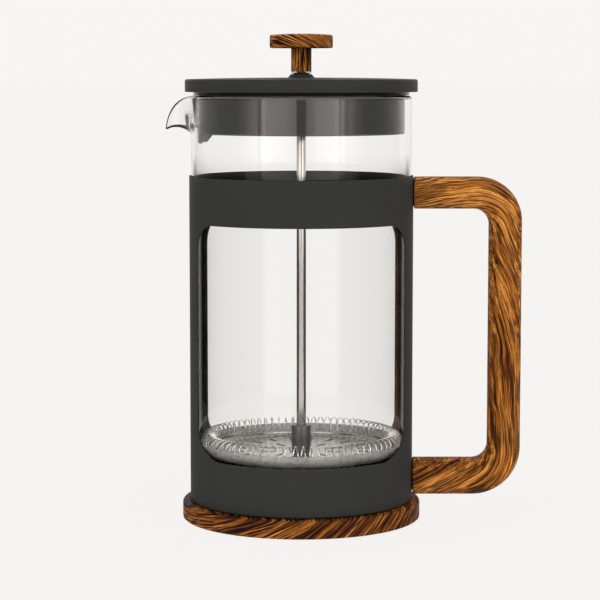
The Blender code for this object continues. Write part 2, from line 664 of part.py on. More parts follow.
def knob_stem(body):
    """The knob's stem, bored for the insert, with a tenon that goes up into the disc."""
    shoulder = KNOB_BOTTOM - GAP
    profile = [(0, TENON_TOP), (TENON_RADIUS, TENON_TOP), (TENON_RADIUS, shoulder), (STEM_RADIUS, shoulder)]
    profile += [(STEM_RADIUS, STEM_BOTTOM), (STEM_BORE_RADIUS, STEM_BOTTOM)]
    profile += [(STEM_BORE_RADIUS, STEM_BORE_TOP), (0, STEM_BORE_TOP)]
    turned("knob_stem", profile, "wood", body, steps=SMALL_STEPS)


def knob_insert(body):
    """The threaded sleeve in the stem that the rod screws into."""
    profile = tube_profile(ROD_RADIUS + GAP, STEM_BORE_RADIUS - GAP, STEM_BOTTOM + INSERT_SETBACK,
                           STEM_BORE_TOP - INSERT_SETBACK)
    turned("knob_insert", profile, "brass", body, steps=16)


def plunger_rod(body):
    end_radius = ROD_RADIUS - ROD_CHAMFER
    profile = [(0, ROD_TOP), (end_radius, ROD_TOP), (ROD_RADIUS, ROD_TOP - ROD_CHAMFER)]
    profile += [(ROD_RADIUS, ROD_BOTTOM + ROD_CHAMFER), (end_radius, ROD_BOTTOM), (0, ROD_BOTTOM)]
    turned("plunger_rod", profile, "steel", body, steps=SMALL_STEPS)


def hub_collar(body):
    """The collar on the rod that clamps the filter from above."""
    bottom = PLATE_BOTTOM + PLATE_SHEET + GAP
    bore = ROD_RADIUS + GAP
    profile = [(bore, COLLAR_TOP), (COLLAR_RADIUS - COLLAR_CHAMFER, COLLAR_TOP)]
    profile += [(COLLAR_RADIUS, COLLAR_TOP - COLLAR_CHAMFER), (COLLAR_RADIUS, bottom), (bore, bottom)]
    turned("hub_collar", profile, "steel", body, steps=SMALL_STEPS)


def dish_profile(hole, flat_radius, flat_top, rim_radius, rim_top, sheet, steps):
    """A dished sheet: a flat middle with a hole, and an elliptical wall that rises to the rim."""
    rise = rim_top - flat_top
    inner = arc((flat_radius, rim_top), (rim_radius - sheet - flat_radius, rise), -90, 0, steps)
    outer = arc((flat_radius, rim_top), (rim_radius - flat_radius, rise + sheet), 0, -90, steps)
    return [(hole, flat_top)] + inner + outer + [(hole, flat_top - sheet)]


def spring_plate(body):
    """The dished plate that carries the coil, with two rings of radial slots."""
    coil_bottom = COIL_HEIGHT - COIL_RADIUS - COIL_WIRE
    profile = dish_profile(ROD_RADIUS + GAP, PLATE_FLAT_RADIUS, PLATE_BOTTOM + PLATE_SHEET,
                           PLATE_RIM_RADIUS, coil_bottom - GAP, PLATE_SHEET, 3)
    plate = turned("spring_plate", profile, "steel", body, steps=48)
    boxes = []
    for count, radius in PLATE_SLOT_RINGS:
        for number in range(count):
            turn = Matrix.Rotation(2 * math.pi * (number + 0.5) / count, 4, "Z")
            boxes.append((turn @ Matrix.Translation((radius, 0, PLATE_BOTTOM)), (*PLATE_SLOT, CUT_MARGIN)))
    slots = boxes_mesh("plate_slots", boxes)
    boolean(plate, add_cutter(slots.name, slots))


def filter_spring(body):
    """The coil that presses the mesh's edge against the glass: a helix of wire closed into a ring."""
    curve = bpy.data.curves.new("filter_spring", "CURVE")
    curve.dimensions = "3D"
    curve.bevel_depth = COIL_WIRE
    curve.bevel_resolution = 0
    spline = curve.splines.new("POLY")
    count = COIL_TURNS * COIL_TURN_POINTS
    spline.points.add(count - 1)
    for number, point in enumerate(spline.points):
        turn = 2 * math.pi * number / COIL_TURN_POINTS
        way_round = 2 * math.pi * number / count
        radius = COIL_RING_RADIUS + COIL_RADIUS * math.cos(turn)
        height = COIL_HEIGHT + COIL_RADIUS * math.sin(turn)
        point.co = (radius * math.cos(way_round), radius * math.sin(way_round), height, 1)
    spline.use_cyclic_u = True
    add_piece("filter_spring", curve, "steel", body)


def filter_mesh(body):
    """The fine mesh: a bowl whose edge stands up round the coil, drawn here as a plain sheet."""
    top = PLATE_BOTTOM - GAP
    profile = dish_profile(ROD_RADIUS + GAP, MESH_FLAT_RADIUS, top, MESH_RIM_RADIUS, MESH_RIM_TOP,
                           MESH_SHEET, 4)
    turned("filter_mesh", profile, "steel", body, steps=48)


def cross_plate(body):
    """The perforated plate below the mesh."""
    top = PLATE_BOTTOM - GAP - MESH_SHEET - GAP
    outlines = [circle(CROSS_RADIUS, 48), circle(ROD_RADIUS + GAP, 16)]
    for count, ring_radius, hole_radius in CROSS_HOLES:
        for number in range(count):
            angle = 2 * math.pi * number / count
            centre = (ring_radius * math.cos(angle), ring_radius * math.sin(angle))
            outlines.append(arc(centre, (hole_radius, hole_radius), 0, 360, 12)[:-1])
    mesh = plate_mesh("cross_plate", outlines, CROSS_SHEET)
    add_piece("cross_plate", mesh, "steel", body, location=(0, 0, top - CROSS_SHEET / 2))


def hub_nut(body):
    """The hexagonal nut that clamps the filter from below."""
    top = PLATE_BOTTOM - GAP - MESH_SHEET - GAP - CROSS_SHEET - GAP
    mesh = plate_mesh("hub_nut", [circle(NUT_RADIUS, 6), circle(ROD_RADIUS + GAP, 16)], NUT_HEIGHT)
    add_piece("hub_nut", mesh, "steel", body, location=(0, 0, top - NUT_HEIGHT / 2))


# ---------------------------------------------------------------- assembly
BODIES = {
    "stand": [base_disc, base_pad, frame_shell, base_screws, beaker_cushion, handle, handle_fixings],
    "beaker": [glass_beaker],
    "bush": [lid_bush, bush_retainer],
    "lid": [lid_cap, lid_liner],
    "plunger": [knob_disc, knob_stem, knob_insert, plunger_rod, hub_collar, spring_plate, filter_spring,
                filter_mesh, cross_plate, hub_nut],
}

clear_scene()
parts = new_collection("french_press")
cutters = new_collection("cutters")
for body_name, makers in BODIES.items():
    body_empty = bpy.data.objects.new(f"{body_name}_body", None)
    parts.objects.link(body_empty)
    for make in makers:
        make(body_empty)
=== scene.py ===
import json
import math

import bmesh
import bpy
import numpy as np
from mathutils import Matrix, Vector


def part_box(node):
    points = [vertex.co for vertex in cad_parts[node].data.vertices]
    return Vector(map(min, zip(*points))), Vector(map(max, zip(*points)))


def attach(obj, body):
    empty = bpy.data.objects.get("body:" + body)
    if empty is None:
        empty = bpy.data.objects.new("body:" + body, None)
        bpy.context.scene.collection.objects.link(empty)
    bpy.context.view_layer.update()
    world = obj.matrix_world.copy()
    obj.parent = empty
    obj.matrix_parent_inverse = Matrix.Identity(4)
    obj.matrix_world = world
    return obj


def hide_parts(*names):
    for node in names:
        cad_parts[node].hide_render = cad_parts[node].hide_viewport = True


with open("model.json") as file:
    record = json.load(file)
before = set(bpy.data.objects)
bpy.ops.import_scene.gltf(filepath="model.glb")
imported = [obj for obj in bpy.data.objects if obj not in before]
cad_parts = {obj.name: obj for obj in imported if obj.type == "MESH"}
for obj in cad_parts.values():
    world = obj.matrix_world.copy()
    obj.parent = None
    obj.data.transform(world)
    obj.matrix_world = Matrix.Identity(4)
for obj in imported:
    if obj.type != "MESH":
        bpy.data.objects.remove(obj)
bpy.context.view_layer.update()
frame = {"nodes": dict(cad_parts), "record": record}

# ---------------------------------------------------------------- sizes that the frame doesn't give
GAP = 0.0003                      # room between neighbouring pieces
ROUND_STEPS = 256                 # sides of the large round pieces
SMALL_STEPS = 96                  # sides of the small round pieces
CUT_MARGIN = 0.004                # how far a cutter runs past what it cuts
SHARP_ANGLE = math.radians(38)    # edges that turn more than this look sharp

SHEET = 0.0006                    # the frame's sheet
SHEET_EDGE = 0.00012              # rounding of the sheet's edges
FRAME_BEND = 0.0010
FLANGE_INNER_RADIUS = 0.030
WINDOW_HALF_WIDTH = 0.0475
WINDOW_LEVELS = (0.0318, 0.1393)
WINDOW_CORNER_TOP = (0.0068, 0.0113)       # half axes of the corner ellipses
WINDOW_CORNER_BOTTOM = (0.0110, 0.0140)
CUP_RADIUS = 0.0060
CUP_WALL = 0.0010
CUP_LAP = 0.00005                 # how far a cup runs into the sheet's back
SCREW_HOLE = 0.0018
FLANGE_ROWS = 6                   # rows of faces across the flange
BAND_ROWS = 8                     # rows of faces below a window, and above it
WINDOW_ROWS = 24                  # rows of faces beside a window
BASE_RECESS = 0.0010              # how deep the pad sits in the base

HANDLE_GRIP_WIDTH = 0.0154
HANDLE_OUTER_CORNERS = (0.0208, 0.0225)
HANDLE_INNER_CORNER = 0.0073
HANDLE_SQUARENESS = 2.5
HANDLE_SIDES = 56
HANDLE_CORNER_STEPS = 22
HANDLE_STANDOFF = 0.0005
HANDLE_END_EDGE = 0.0004
HANDLE_GRAIN_DEPTH = 0.011        # how deep in its imagined plank the handle lies

GLASS_WALL = 0.0022
GLASS_CORNER = 0.008
SPOUT_HALF_ANGLE = math.radians(20)
SPOUT_REACH = 0.01098             # from the wall to the tip
SPOUT_DROP = 0.0144               # from the rim down to the tip
SPOUT_ROOT = 0.0170               # from the rim down to where the spout leaves the wall
SPOUT_LIP = 0.5                   # share of the wall's thickness at the tip
SPOUT_SOFTNESS = 0.15             # how gently the rim turns at the tip
SPOUT_SWELL = 0.22                # how full the spout is above its root
SPOUT_HOOK = (0.0056, 0.0028)     # how far the spout curls at the tip, inward and up

LID_LIP = 0.0017
LID_THICKNESS = 0.0015
LID_EDGE = 0.0010
LID_EDGE_DROP = 0.0008            # how far the crown has dropped at the rim
BOSS_RADII = (0.0058, 0.0048)
BOSS_RISE = 0.0016
LID_TUBE_RADIUS = 0.0060          # the cap's tube round the bush
LINER_FLANGE = 0.0024
LINER_WEB = 0.0016
SKIRT_RADIUS = 0.0480
SKIRT_BOTTOM = 0.1800
SKIRT_WALL = 0.0016
TAB_HALF_ANGLE = math.radians(16.8)
TAB_FLARE_ANGLE = math.radians(28)
POUR_SLOT = (0.0060, 0.0022)      # depth of its cutter, and width
POUR_SLOT_COUNT = 7
POUR_SLOT_PITCH = math.radians(5)
POUR_SLOT_BOTTOM = 0.1773
POUR_ARCH = (math.radians(18), 0.1845, 0.0058)     # half angle, springing and rise
# the satin arch carries a painted highlight as a lighter grey
ARCH_MARGIN = 0.0010              # how far the satin arch reaches above the slots

MESH_SHEET = 0.0004
PLATE_FLAT_RADIUS = 0.0390
MESH_FLAT_RADIUS = 0.0415
WEAVE_PITCH = 0.00042             # from one wire of the mesh to the next
WEAVE_RADIUS = 0.048              # where the wires have that pitch
PLATE_SHEET = 0.0006
PLATE_SLOT_RINGS = ((10, 0.0165), (20, 0.0300))    # how many slots, and how far out
PLATE_SLOT = (0.0080, 0.0018)     # length and width
COIL_TURNS = 80
COIL_TURN_POINTS = 18
COIL_WIRE = 0.0003
COIL_RADIUS = 0.0033              # to the middle of the wire
BUSH_RADIUS = 0.0036
TENON_RADIUS = 0.0030
STEM_BORE_RADIUS = 0.0034
STEM_BORE_TOP = 0.2180

BACKDROP = (0.930, 0.914, 0.896)
FLOOR_PAPER = (0.80, 0.785, 0.77)
FLOOR_SHARE = 0.06                # the share of the floor's look that is what its paper reflects


# ---------------------------------------------------------------- what the frame gives
def low(node):
    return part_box(node)[0]


def high(node):
    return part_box(node)[1]


def radius_of(node):
    """The radius of a round piece, from its depth: a spout or a pressed cup may reach further along X."""
    return (high(node).y - low(node).y) / 2


def middle_of(node):
    return (low(node) + high(node)) / 2


bodies = frame["record"]["behaviour"]["bodies"]
body_of = {node: body for body, nodes in bodies.items() for node in nodes}


# ---------------------------------------------------------------- mesh helpers
def arc(centre, radii, start, end, steps):
    """Points along an arc of an ellipse, from one angle to another in degrees."""
    angles = [math.radians(start + (end - start) * step / steps) for step in range(steps + 1)]
    return [(centre[0] + radii[0] * math.cos(a), centre[1] + radii[1] * math.sin(a)) for a in angles]


def rounded(corners, steps=6):
    """A closed path through corners of (x, y, rounding), with an arc at each corner that has a rounding."""
    points = []
    for number, (x, y, rounding) in enumerate(corners):
        here = Vector((x, y))
        if rounding == 0:
            points.append(here)
            continue
        back = (Vector(corners[number - 1][:2]) - here).normalized()
        onward = (Vector(corners[(number + 1) % len(corners)][:2]) - here).normalized()
        half_angle = back.angle(onward) / 2
        centre = here + (back + onward).normalized() * rounding / math.sin(half_angle)
        start = here + back * rounding / math.tan(half_angle) - centre
        end = here + onward * rounding / math.tan(half_angle) - centre
        turn = math.atan2(start.x * end.y - start.y * end.x, start.dot(end))
        for step in range(steps + 1):
            points.append(centre + Matrix.Rotation(turn * step / steps, 2) @ start)
    return points


def link(name, shape):
    """Make an object from a bmesh, with its faces outward."""
    bmesh.ops.recalc_face_normals(shape, faces=shape.faces)
    mesh = bpy.data.meshes.new(name)
    shape.to_mesh(mesh)
    shape.free()
    piece = bpy.data.objects.new(name, mesh)
    bpy.context.scene.collection.objects.link(piece)
    return piece


def skin(name, rings, closed_along=False):
    """Faces between each ring of points and the next. A ring of one point is a pole."""
    shape = bmesh.new()
    made = [[shape.verts.new(point) for point in ring] for ring in rings]
    pairs = list(zip(made, made[1:]))
    if closed_along:
        pairs.append((made[-1], made[0]))
    for ring, following in pairs:
        sides = max(len(ring), len(following))
        for side in range(sides):
            beside = (side + 1) % sides
            corners = [ring[side % len(ring)], ring[beside % len(ring)],
                       following[beside % len(following)], following[side % len(following)]]
            shape.faces.new(dict.fromkeys(corners))
    return link(name, shape)


def turned(name, profile, steps=ROUND_STEPS, warp=None):
    """Turn a closed path of (radius, height) points about Z. Points on the axis become poles."""
    rings = []
    for radius, height in profile:
        if radius < 1e-7:
            rings.append([(0, 0, height)])
            continue
        angles = [2 * math.pi * step / steps for step in range(steps)]
        ring = [Vector((radius * math.cos(angle), radius * math.sin(angle), height)) for angle in angles]
        rings.append([warp(point) for point in ring] if warp else ring)
    ends_on_axis = len(rings[0]) == 1 and len(rings[-1]) == 1
    return skin(name, rings, closed_along=not ends_on_axis)


def cylinder(name, radius, start, end, steps=48):
    """A closed cylinder between two points."""
    start, end = Vector(start), Vector(end)
    axis = end - start
    place = Matrix.Translation((start + end) / 2) @ axis.to_track_quat("Z", "Y").to_matrix().to_4x4()
    shape = bmesh.new()
    bmesh.ops.create_cone(shape, cap_ends=True, segments=steps, radius1=radius, radius2=radius,
                          depth=axis.length, matrix=place)
    return link(name, shape)


def slot_cutter(name, length, width, depth, place):
    """A closed bar with round ends: length along X, width along Y and depth along Z."""
    half = (length - width) / 2
    radii = (width / 2, width / 2)
    outline = arc((half, 0), radii, -90, 90, 8) + arc((-half, 0), radii, 90, 270, 8)
    ends = [[place @ Vector((x, y, side * depth / 2)) for x, y in outline] for side in (-1, 1)]
    shape = bmesh.new()
    made = [[shape.verts.new(point) for point in ring] for ring in ends]
    for end in made:
        shape.faces.new(end)
    for side in range(len(outline)):
        beside = (side + 1) % len(outline)
        shape.faces.new((made[0][side], made[0][beside], made[1][beside], made[1][side]))
    return link(name, shape)


def settle(piece):
    """Apply a piece's modifiers to its mesh."""
    evaluated = piece.evaluated_get(bpy.context.evaluated_depsgraph_get())
    mesh = bpy.data.meshes.new_from_object(evaluated)
    piece.modifiers.clear()
    piece.data = mesh


def combine(piece, tools, operation="DIFFERENCE"):
    """Cut closed shapes from a piece, or add them to it."""
    for tool in tools:
        modifier = piece.modifiers.new(tool.name, "BOOLEAN")
        modifier.operation = operation
        modifier.solver = "EXACT"
        modifier.object = tool
    settle(piece)
    for tool in tools:
        bpy.data.objects.remove(tool)


def finish_piece(piece, node, material):
    """Shade a fine piece, give it its material, and let it stand for its CAD node."""
    piece.data.shade_smooth()
    piece.data.set_sharp_from_angle(angle=SHARP_ANGLE)
    piece.data.materials.clear()
    piece.data.materials.append(material)
    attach(piece, body_of[node])
    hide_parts(node)
    return piece


def write_grain(piece, grains):
    """Store where each point lies in the wood: along the grain, across it and through it."""
    attribute = piece.data.attributes.new("grain", "FLOAT_VECTOR", "POINT")
    attribute.data.foreach_set("vector", np.array(grains, dtype=np.float32).ravel())


# ---------------------------------------------------------------- materials
class Graph:
    """The nodes of one material or of the world, each made from its type, its settings and what feeds it."""

    def __init__(self, tree):
        self.tree = tree

    def feed(self, socket, value):
        if isinstance(value, bpy.types.NodeSocket):
            self.tree.links.new(value, socket)
        else:
            socket.default_value = value

    def node(self, kind, inputs, **settings):
        node = self.tree.nodes.new(kind)
        for name, value in settings.items():
            setattr(node, name, value)
        for name, value in inputs.items():
            self.feed(node.inputs[name], value)
        return node

    def surface(self, **inputs):
        """Set the inputs of a material's shader, named with _ for each space."""
        for name, value in inputs.items():
            self.feed(self.tree.nodes["Principled BSDF"].inputs[name.replace("_", " ")], value)

    def place(self):
        return self.node("ShaderNodeTexCoord", {}).outputs["Object"]

    def attribute(self, name):
        return self.node("ShaderNodeAttribute", {}, attribute_name=name).outputs["Vector"]

    def math(self, operation, first, second=0.0, clamp=False):
        node = self.node("ShaderNodeMath", {0: first, 1: second}, operation=operation, use_clamp=clamp)
        return node.outputs["Value"]

    def split(self, vector):
        return self.node("ShaderNodeSeparateXYZ", {"Vector": vector}).outputs

    def join(self, x, y, z):
        return self.node("ShaderNodeCombineXYZ", {"X": x, "Y": y, "Z": z}).outputs["Vector"]

    def scaled(self, vector, scale):
        node = self.node("ShaderNodeVectorMath", {0: vector, 1: scale}, operation="MULTIPLY")
        return node.outputs["Vector"]

    def noise(self, vector, scale=1.0, detail=2.0, roughness=0.5, distortion=0.0):
        inputs = {"Vector": vector, "Scale": scale, "Detail": detail, "Roughness": roughness,
                  "Distortion": distortion}
        return self.node("ShaderNodeTexNoise", inputs).outputs["Fac"]

    def remap(self, value, low_in, high_in, low_out, high_out):
        inputs = {"Value": value, "From Min": low_in, "From Max": high_in,
                  "To Min": low_out, "To Max": high_out}
        return self.node("ShaderNodeMapRange", inputs).outputs["Result"]

    def ramp(self, value, stops):
        """A colour for each place from 0 to 1. Each stop is a place with a colour or a grey level."""
        node = self.node("ShaderNodeValToRGB", {"Fac": value})
        elements = node.color_ramp.elements
        elements[0].position = stops[0][0]
        elements[1].position = stops[-1][0]
        for place, _ in stops[1:-1]:
            elements.new(place)
        for element, (_, colour) in zip(elements, stops):
            element.color = (*colour, 1) if isinstance(colour, tuple) else (colour, colour, colour, 1)
        return node.outputs["Color"]

    def blend(self, factor, first, second, blend_type="MIX"):
        node = self.node("ShaderNodeMix", {}, data_type="RGBA", blend_type=blend_type)
        for socket, value in zip((node.inputs[0], node.inputs[6], node.inputs[7]), (factor, first, second)):
            self.feed(socket, (*value, 1) if isinstance(value, tuple) else value)
        return node.outputs[2]

    def bump(self, height, strength, distance):
        inputs = {"Height": height, "Strength": strength, "Distance": distance}
        return self.node("ShaderNodeBump", inputs).outputs["Normal"]


def new_material(name):
    material = bpy.data.materials.new(name)
    material.use_nodes = True
    return material, Graph(material.node_tree)


WOOD_DARK = (0.012, 0.0022, 0.0006)
WOOD_BROWN = (0.105, 0.024, 0.0035)
WOOD_MID = (0.335, 0.106, 0.0120)
WOOD_LIGHT = (0.670, 0.262, 0.054)


def wood(name, size, light, line_dark):
    """Printed wood: bands that follow the grain, from dark to golden, with thin dark lines, fibres and pores.

    light shifts the bands towards gold, and line_dark is how dark the thin lines get.
    """
    material, g = new_material(name)
    along, across, through = g.split(g.scaled(g.attribute("grain"), (1 / size, 1 / size, 1 / size)))
    wobble = g.noise(g.scaled(g.join(along, across, through), (42, 75, 60)), detail=2)
    across = g.math("ADD", across, g.remap(wobble, 0, 1, -0.0020, 0.0020))

    def layer(along_scale, across_scale, through_scale, **settings):
        vector = g.join(g.math("MULTIPLY", along, along_scale), g.math("MULTIPLY", across, across_scale),
                        g.math("MULTIPLY", through, through_scale))
        return g.noise(vector, **settings)

    bands = layer(12, 210, 120, detail=2, roughness=0.55)
    streaks = layer(20, 620, 300, detail=3, roughness=0.6)
    lines = layer(50, 1150, 600, detail=1)
    fibres = layer(110, 2100, 1000, detail=1)
    pores = layer(700, 1900, 1500, detail=1)

    mixed = g.math("ADD", g.math("MULTIPLY", bands, 0.5), g.math("MULTIPLY", streaks, 0.5))
    mixed = g.math("ADD", mixed, light)
    tone = g.ramp(mixed, [(0.37, WOOD_DARK), (0.435, WOOD_BROWN), (0.51, WOOD_MID), (0.64, WOOD_LIGHT)])
    line_depth = g.remap(lines, 0.49, 0.565, 0.0, line_dark)
    lined = g.blend(line_depth, tone, WOOD_DARK)
    fibre_shade = g.remap(fibres, 0.3, 0.7, 0.4, 1.85)
    fibred = g.blend(1.0, lined, g.join(fibre_shade, fibre_shade, fibre_shade), "MULTIPLY")
    pore_depth = g.remap(pores, 0.58, 0.72, 0.0, 0.5)
    colour = g.blend(pore_depth, fibred, WOOD_DARK)

    relief = g.math("ADD", g.math("MULTIPLY", fibres, 0.6), g.math("MULTIPLY", lines, -0.5))
    g.surface(Base_Color=colour, Roughness=g.remap(streaks, 0.3, 0.7, 0.5, 0.66), Specular_IOR_Level=0.1,
              Normal=g.bump(relief, 0.35, 0.0002))
    return material


def matte_coat(name, colour, roughness, grain_size, depth, inside=None):
    """Paint or plastic with a fine pebbled skin and hardly any sheen, with painted shade that darkens it
    inside a radius.
    """
    material, g = new_material(name)
    place = g.place()
    pebbles = g.noise(place, 1 / grain_size, detail=2, roughness=0.6)
    patches = g.noise(place, 45, detail=2)
    tone = g.remap(patches, 0.3, 0.7, 0.95, 1.05)
    shade = g.math("MULTIPLY", tone, g.remap(pebbles, 0.3, 0.7, 0.94, 1.06))
    if inside:
        x, y, _ = g.split(place)
        from_axis = g.math("SQRT", g.math("ADD", g.math("MULTIPLY", x, x), g.math("MULTIPLY", y, y)))
        # painted shade: inside this radius, on the frame's inner face, the colour is darkened to 0.3 of its
        # tone
        shade = g.math("MULTIPLY", shade, g.remap(from_axis, inside - 0.0001, inside, 0.3, 1.0))
    g.surface(Base_Color=g.blend(1.0, colour, g.join(shade, shade, shade), "MULTIPLY"),
              Roughness=g.remap(pebbles, 0.3, 0.7, roughness - 0.05, roughness + 0.06),
              Specular_IOR_Level=0.06, Normal=g.bump(pebbles, 0.35, depth))
    return material


def gloss_plastic():
    """The liner's glossy smoked moulding: satin in an arch round the pour slots, where a lighter grey is
    painted on as a highlight, and painted shade on its flange, near black and without reflection.
    """
    material, g = new_material("gloss_plastic")
    place = g.place()
    x, y, z = g.split(place)
    flow = g.noise(g.scaled(place, (70, 70, 12)), detail=2)
    dust = g.noise(place, 900, detail=2)
    ribs = g.noise(g.scaled(place, (1500, 1500, 40)), detail=2)
    half_angle, springing, rise = POUR_ARCH
    from_spout = g.math("ABSOLUTE", g.math("ARCTAN2", y, g.math("MULTIPLY", x, -1.0)))
    share = g.math("DIVIDE", from_spout, half_angle)
    dome = g.math("SQRT", g.math("MAXIMUM", g.math("SUBTRACT", 1.0, g.math("MULTIPLY", share, share)), 0.0))
    arch_top = g.math("ADD", springing + ARCH_MARGIN, g.math("MULTIPLY", dome, rise))
    below_arch = g.remap(g.math("SUBTRACT", arch_top, z), 0.0, 0.0004, 0.0, 1.0)
    beside_spout = g.remap(g.math("SUBTRACT", half_angle, from_spout), 0.0, 0.01, 0.0, 1.0)
    satin = g.math("MULTIPLY", below_arch, beside_spout)
    gloss = g.ramp(flow, [(0.3, (0.100, 0.089, 0.085)), (0.7, (0.122, 0.110, 0.105))])
    # the arch is rougher satin, and its lighter grey is a painted highlight
    frost_and_highlight = g.ramp(ribs, [(0.35, (0.24, 0.22, 0.21)), (0.65, (0.42, 0.395, 0.375))])
    # painted shade: the flange, in the gap under the cap and over the glass rim, is painted near black and
    # loses its metal reflection
    flange_bottom = high("lid_liner").z - LINER_FLANGE
    flange = g.remap(z, flange_bottom - 0.0001, flange_bottom, 0.0, 1.0)
    skirt = g.blend(satin, gloss, frost_and_highlight)
    metal = g.math("MULTIPLY", g.remap(satin, 0.0, 1.0, 1.0, 0.2), g.math("SUBTRACT", 1.0, flange))
    g.surface(Base_Color=g.blend(flange, skirt, (0.012, 0.012, 0.012)), Metallic=metal,
              Roughness=g.math("ADD", g.remap(dust, 0.3, 0.7, 0.05, 0.09), g.math("MULTIPLY", satin, 0.4)),
              Specular_IOR_Level=0.1, Specular_Tint=(0.40, 0.37, 0.36, 1), Normal=g.bump(flow, 0.12, 0.0008))
    return material


def clear_glass():
    material, g = new_material("clear_glass")
    place = g.place()
    draw = g.noise(g.scaled(place, (22, 22, 5)), detail=1)
    g.surface(Base_Color=(0.996, 0.993, 0.989, 1), Roughness=0.0, IOR=1.47, Specular_IOR_Level=0.15,
              Transmission_Weight=1.0, Normal=g.bump(draw, 0.05, 0.0006))
    return material


def steel(name, colour, roughness, scratch, depth=0.00003):
    """Metal with fine drawn lines along one direction, given as how the place is scaled."""
    material, g = new_material(name)
    place = g.place()
    lines = g.noise(g.scaled(place, scratch), detail=3, roughness=0.65)
    patches = g.noise(place, 120, detail=2)
    shade = g.math("MULTIPLY", g.remap(lines, 0.3, 0.7, 0.88, 1.08), g.remap(patches, 0.3, 0.7, 0.93, 1.05))
    g.surface(Base_Color=g.blend(1.0, colour, g.join(shade, shade, shade), "MULTIPLY"), Metallic=1.0,
              Roughness=g.remap(lines, 0.3, 0.7, roughness - 0.06, roughness + 0.08),
              Normal=g.bump(lines, 0.4, depth))
    return material


def woven_mesh():
    """Fine woven wire cloth: crossing wires, with holes between them that let light through, and painted
    shade that darkens it between the wires and in the creases of its ripples.
    """
    material, g = new_material("woven_mesh")
    x, y, z = g.split(g.place())
    waves = 2 * math.pi / WEAVE_PITCH
    round_way = g.math("MULTIPLY", g.math("ARCTAN2", y, x), WEAVE_RADIUS)
    slanting_way = g.math("ADD", z, g.math("MULTIPLY", x, 0.4))
    warp = g.math("SINE", g.math("MULTIPLY", round_way, waves))
    weft = g.math("SINE", g.math("MULTIPLY", slanting_way, waves))
    wires = g.math("MAXIMUM", warp, weft)
    ripple = g.noise(g.place(), 420, detail=3, roughness=0.7)
    # painted shade: the colour darkens in the creases of the ripples, and the wires term darkens it in the
    # gaps between the wires
    crease_shade = g.remap(ripple, 0.38, 0.62, -0.15, 0.85)
    shade = g.math("ADD", g.math("MULTIPLY", wires, 0.5), crease_shade)
    tone = g.ramp(shade, [(0.0, (0.46, 0.43, 0.415)), (0.45, (0.93, 0.88, 0.86)), (0.8, (0.99, 0.97, 0.95))])
    g.surface(Base_Color=tone, Metallic=0.1, Roughness=g.remap(ripple, 0.3, 0.7, 0.36, 0.5),
              Alpha=g.remap(wires, -0.2, 0.6, 0.38, 0.82),
              Normal=g.bump(g.math("ADD", wires, g.math("MULTIPLY", ripple, 4.0)), 0.6, 0.0001))
    return material


def rubber(name, colour):
    material, g = new_material(name)
    grain = g.noise(g.place(), 2400, detail=3)
    tone = g.remap(grain, 0.3, 0.7, 0.8, 1.2)
    g.surface(Base_Color=g.blend(1.0, colour, g.join(tone, tone, tone), "MULTIPLY"),
              Roughness=g.remap(grain, 0.3, 0.7, 0.6, 0.8), Normal=g.bump(grain, 0.4, 0.00006))
    return material


# the frame's coat has painted shade on its inner face
powder_coat = matte_coat("powder_coat", (0.0400, 0.0405, 0.0400), 0.52, 0.00022, 0.00003,
                         inside=radius_of("frame_shell") - SHEET / 2)
lid_plastic = matte_coat("lid_plastic", (0.0400, 0.0400, 0.0395), 0.46, 0.00035, 0.00002)
liner_plastic = gloss_plastic()
glass_clear = clear_glass()
rod_steel = steel("rod_steel", (0.86, 0.80, 0.75), 0.14, (2500, 2500, 60))
filter_steel = steel("filter_steel", (0.52, 0.49, 0.46), 0.26, (160, 900, 900))
wire_steel = steel("wire_steel", (0.98, 0.95, 0.92), 0.2, (1500, 1500, 1500))
collar_steel = steel("collar_steel", (0.16, 0.15, 0.14), 0.34, (1800, 1800, 200))
fixing_steel = steel("fixing_steel", (0.45, 0.45, 0.44), 0.34, (1200, 1200, 1200))
insert_brass = steel("insert_brass", (0.72, 0.50, 0.20), 0.32, (1600, 1600, 300))
mesh_steel = woven_mesh()
foot_rubber = rubber("foot_rubber", (0.018, 0.018, 0.018))
bush_rubber = rubber("bush_rubber", (0.007, 0.007, 0.007))
handle_wood = wood("handle_wood", 1.0, 0.035, 0.72)
base_wood = wood("base_wood", 0.68, -0.03, 0.98)
knob_wood = wood("knob_wood", 0.62, 0.05, 0.98)


# ---------------------------------------------------------------- stand
def base_screw_holes(bottom, top):
    """Cutters for the three base screws, between two heights."""
    holes = []
    for number in (1, 2, 3):
        screw = middle_of(f"base_screw_{number}")
        start, end = (screw.x, screw.y, bottom), (screw.x, screw.y, top)
        holes.append(cylinder(f"hole_{number}", SCREW_HOLE, start, end))
    return holes


def base_disc():
    """The printed wooden base, with a recess for the pad and a blind hole for each screw."""
    node = "base_disc"
    radius, bottom, top = radius_of(node), low(node).z, high(node).z
    recess_radius, recess_top = radius_of("base_pad") + GAP, bottom + BASE_RECESS
    corners = [(0, top, 0), (radius, top, 0.0012), (radius, bottom, 0.0010), (recess_radius, bottom, 0)]
    corners += [(recess_radius, recess_top, 0), (0, recess_top, 0)]
    piece = turned("fine_base_disc", rounded(corners))
    combine(piece, base_screw_holes(low("base_screw_1").z - GAP, top + CUT_MARGIN))
    swing = 1.15

    def grain(point):
        """Rings that rise to the right, gently on the spout's side and steeply towards the handle."""
        rise = 0.62 * radius / swing * math.exp(swing * point.x / radius)
        return (point.x + 0.4 * point.y, point.z - rise, point.y * 0.12)

    write_grain(piece, [grain(vertex.co) for vertex in piece.data.vertices])
    return finish_piece(piece, node, base_wood)


def window_edge(x, level, corner, side):
    """Height of a window's edge at a distance from its middle line. side is 1 for the top, else -1."""
    straight = WINDOW_HALF_WIDTH - corner[0]
    if x <= straight:
        return level
    share = min((x - straight) / corner[0], 1)
    return level - side * corner[1] * (1 - math.sqrt(1 - share * share))


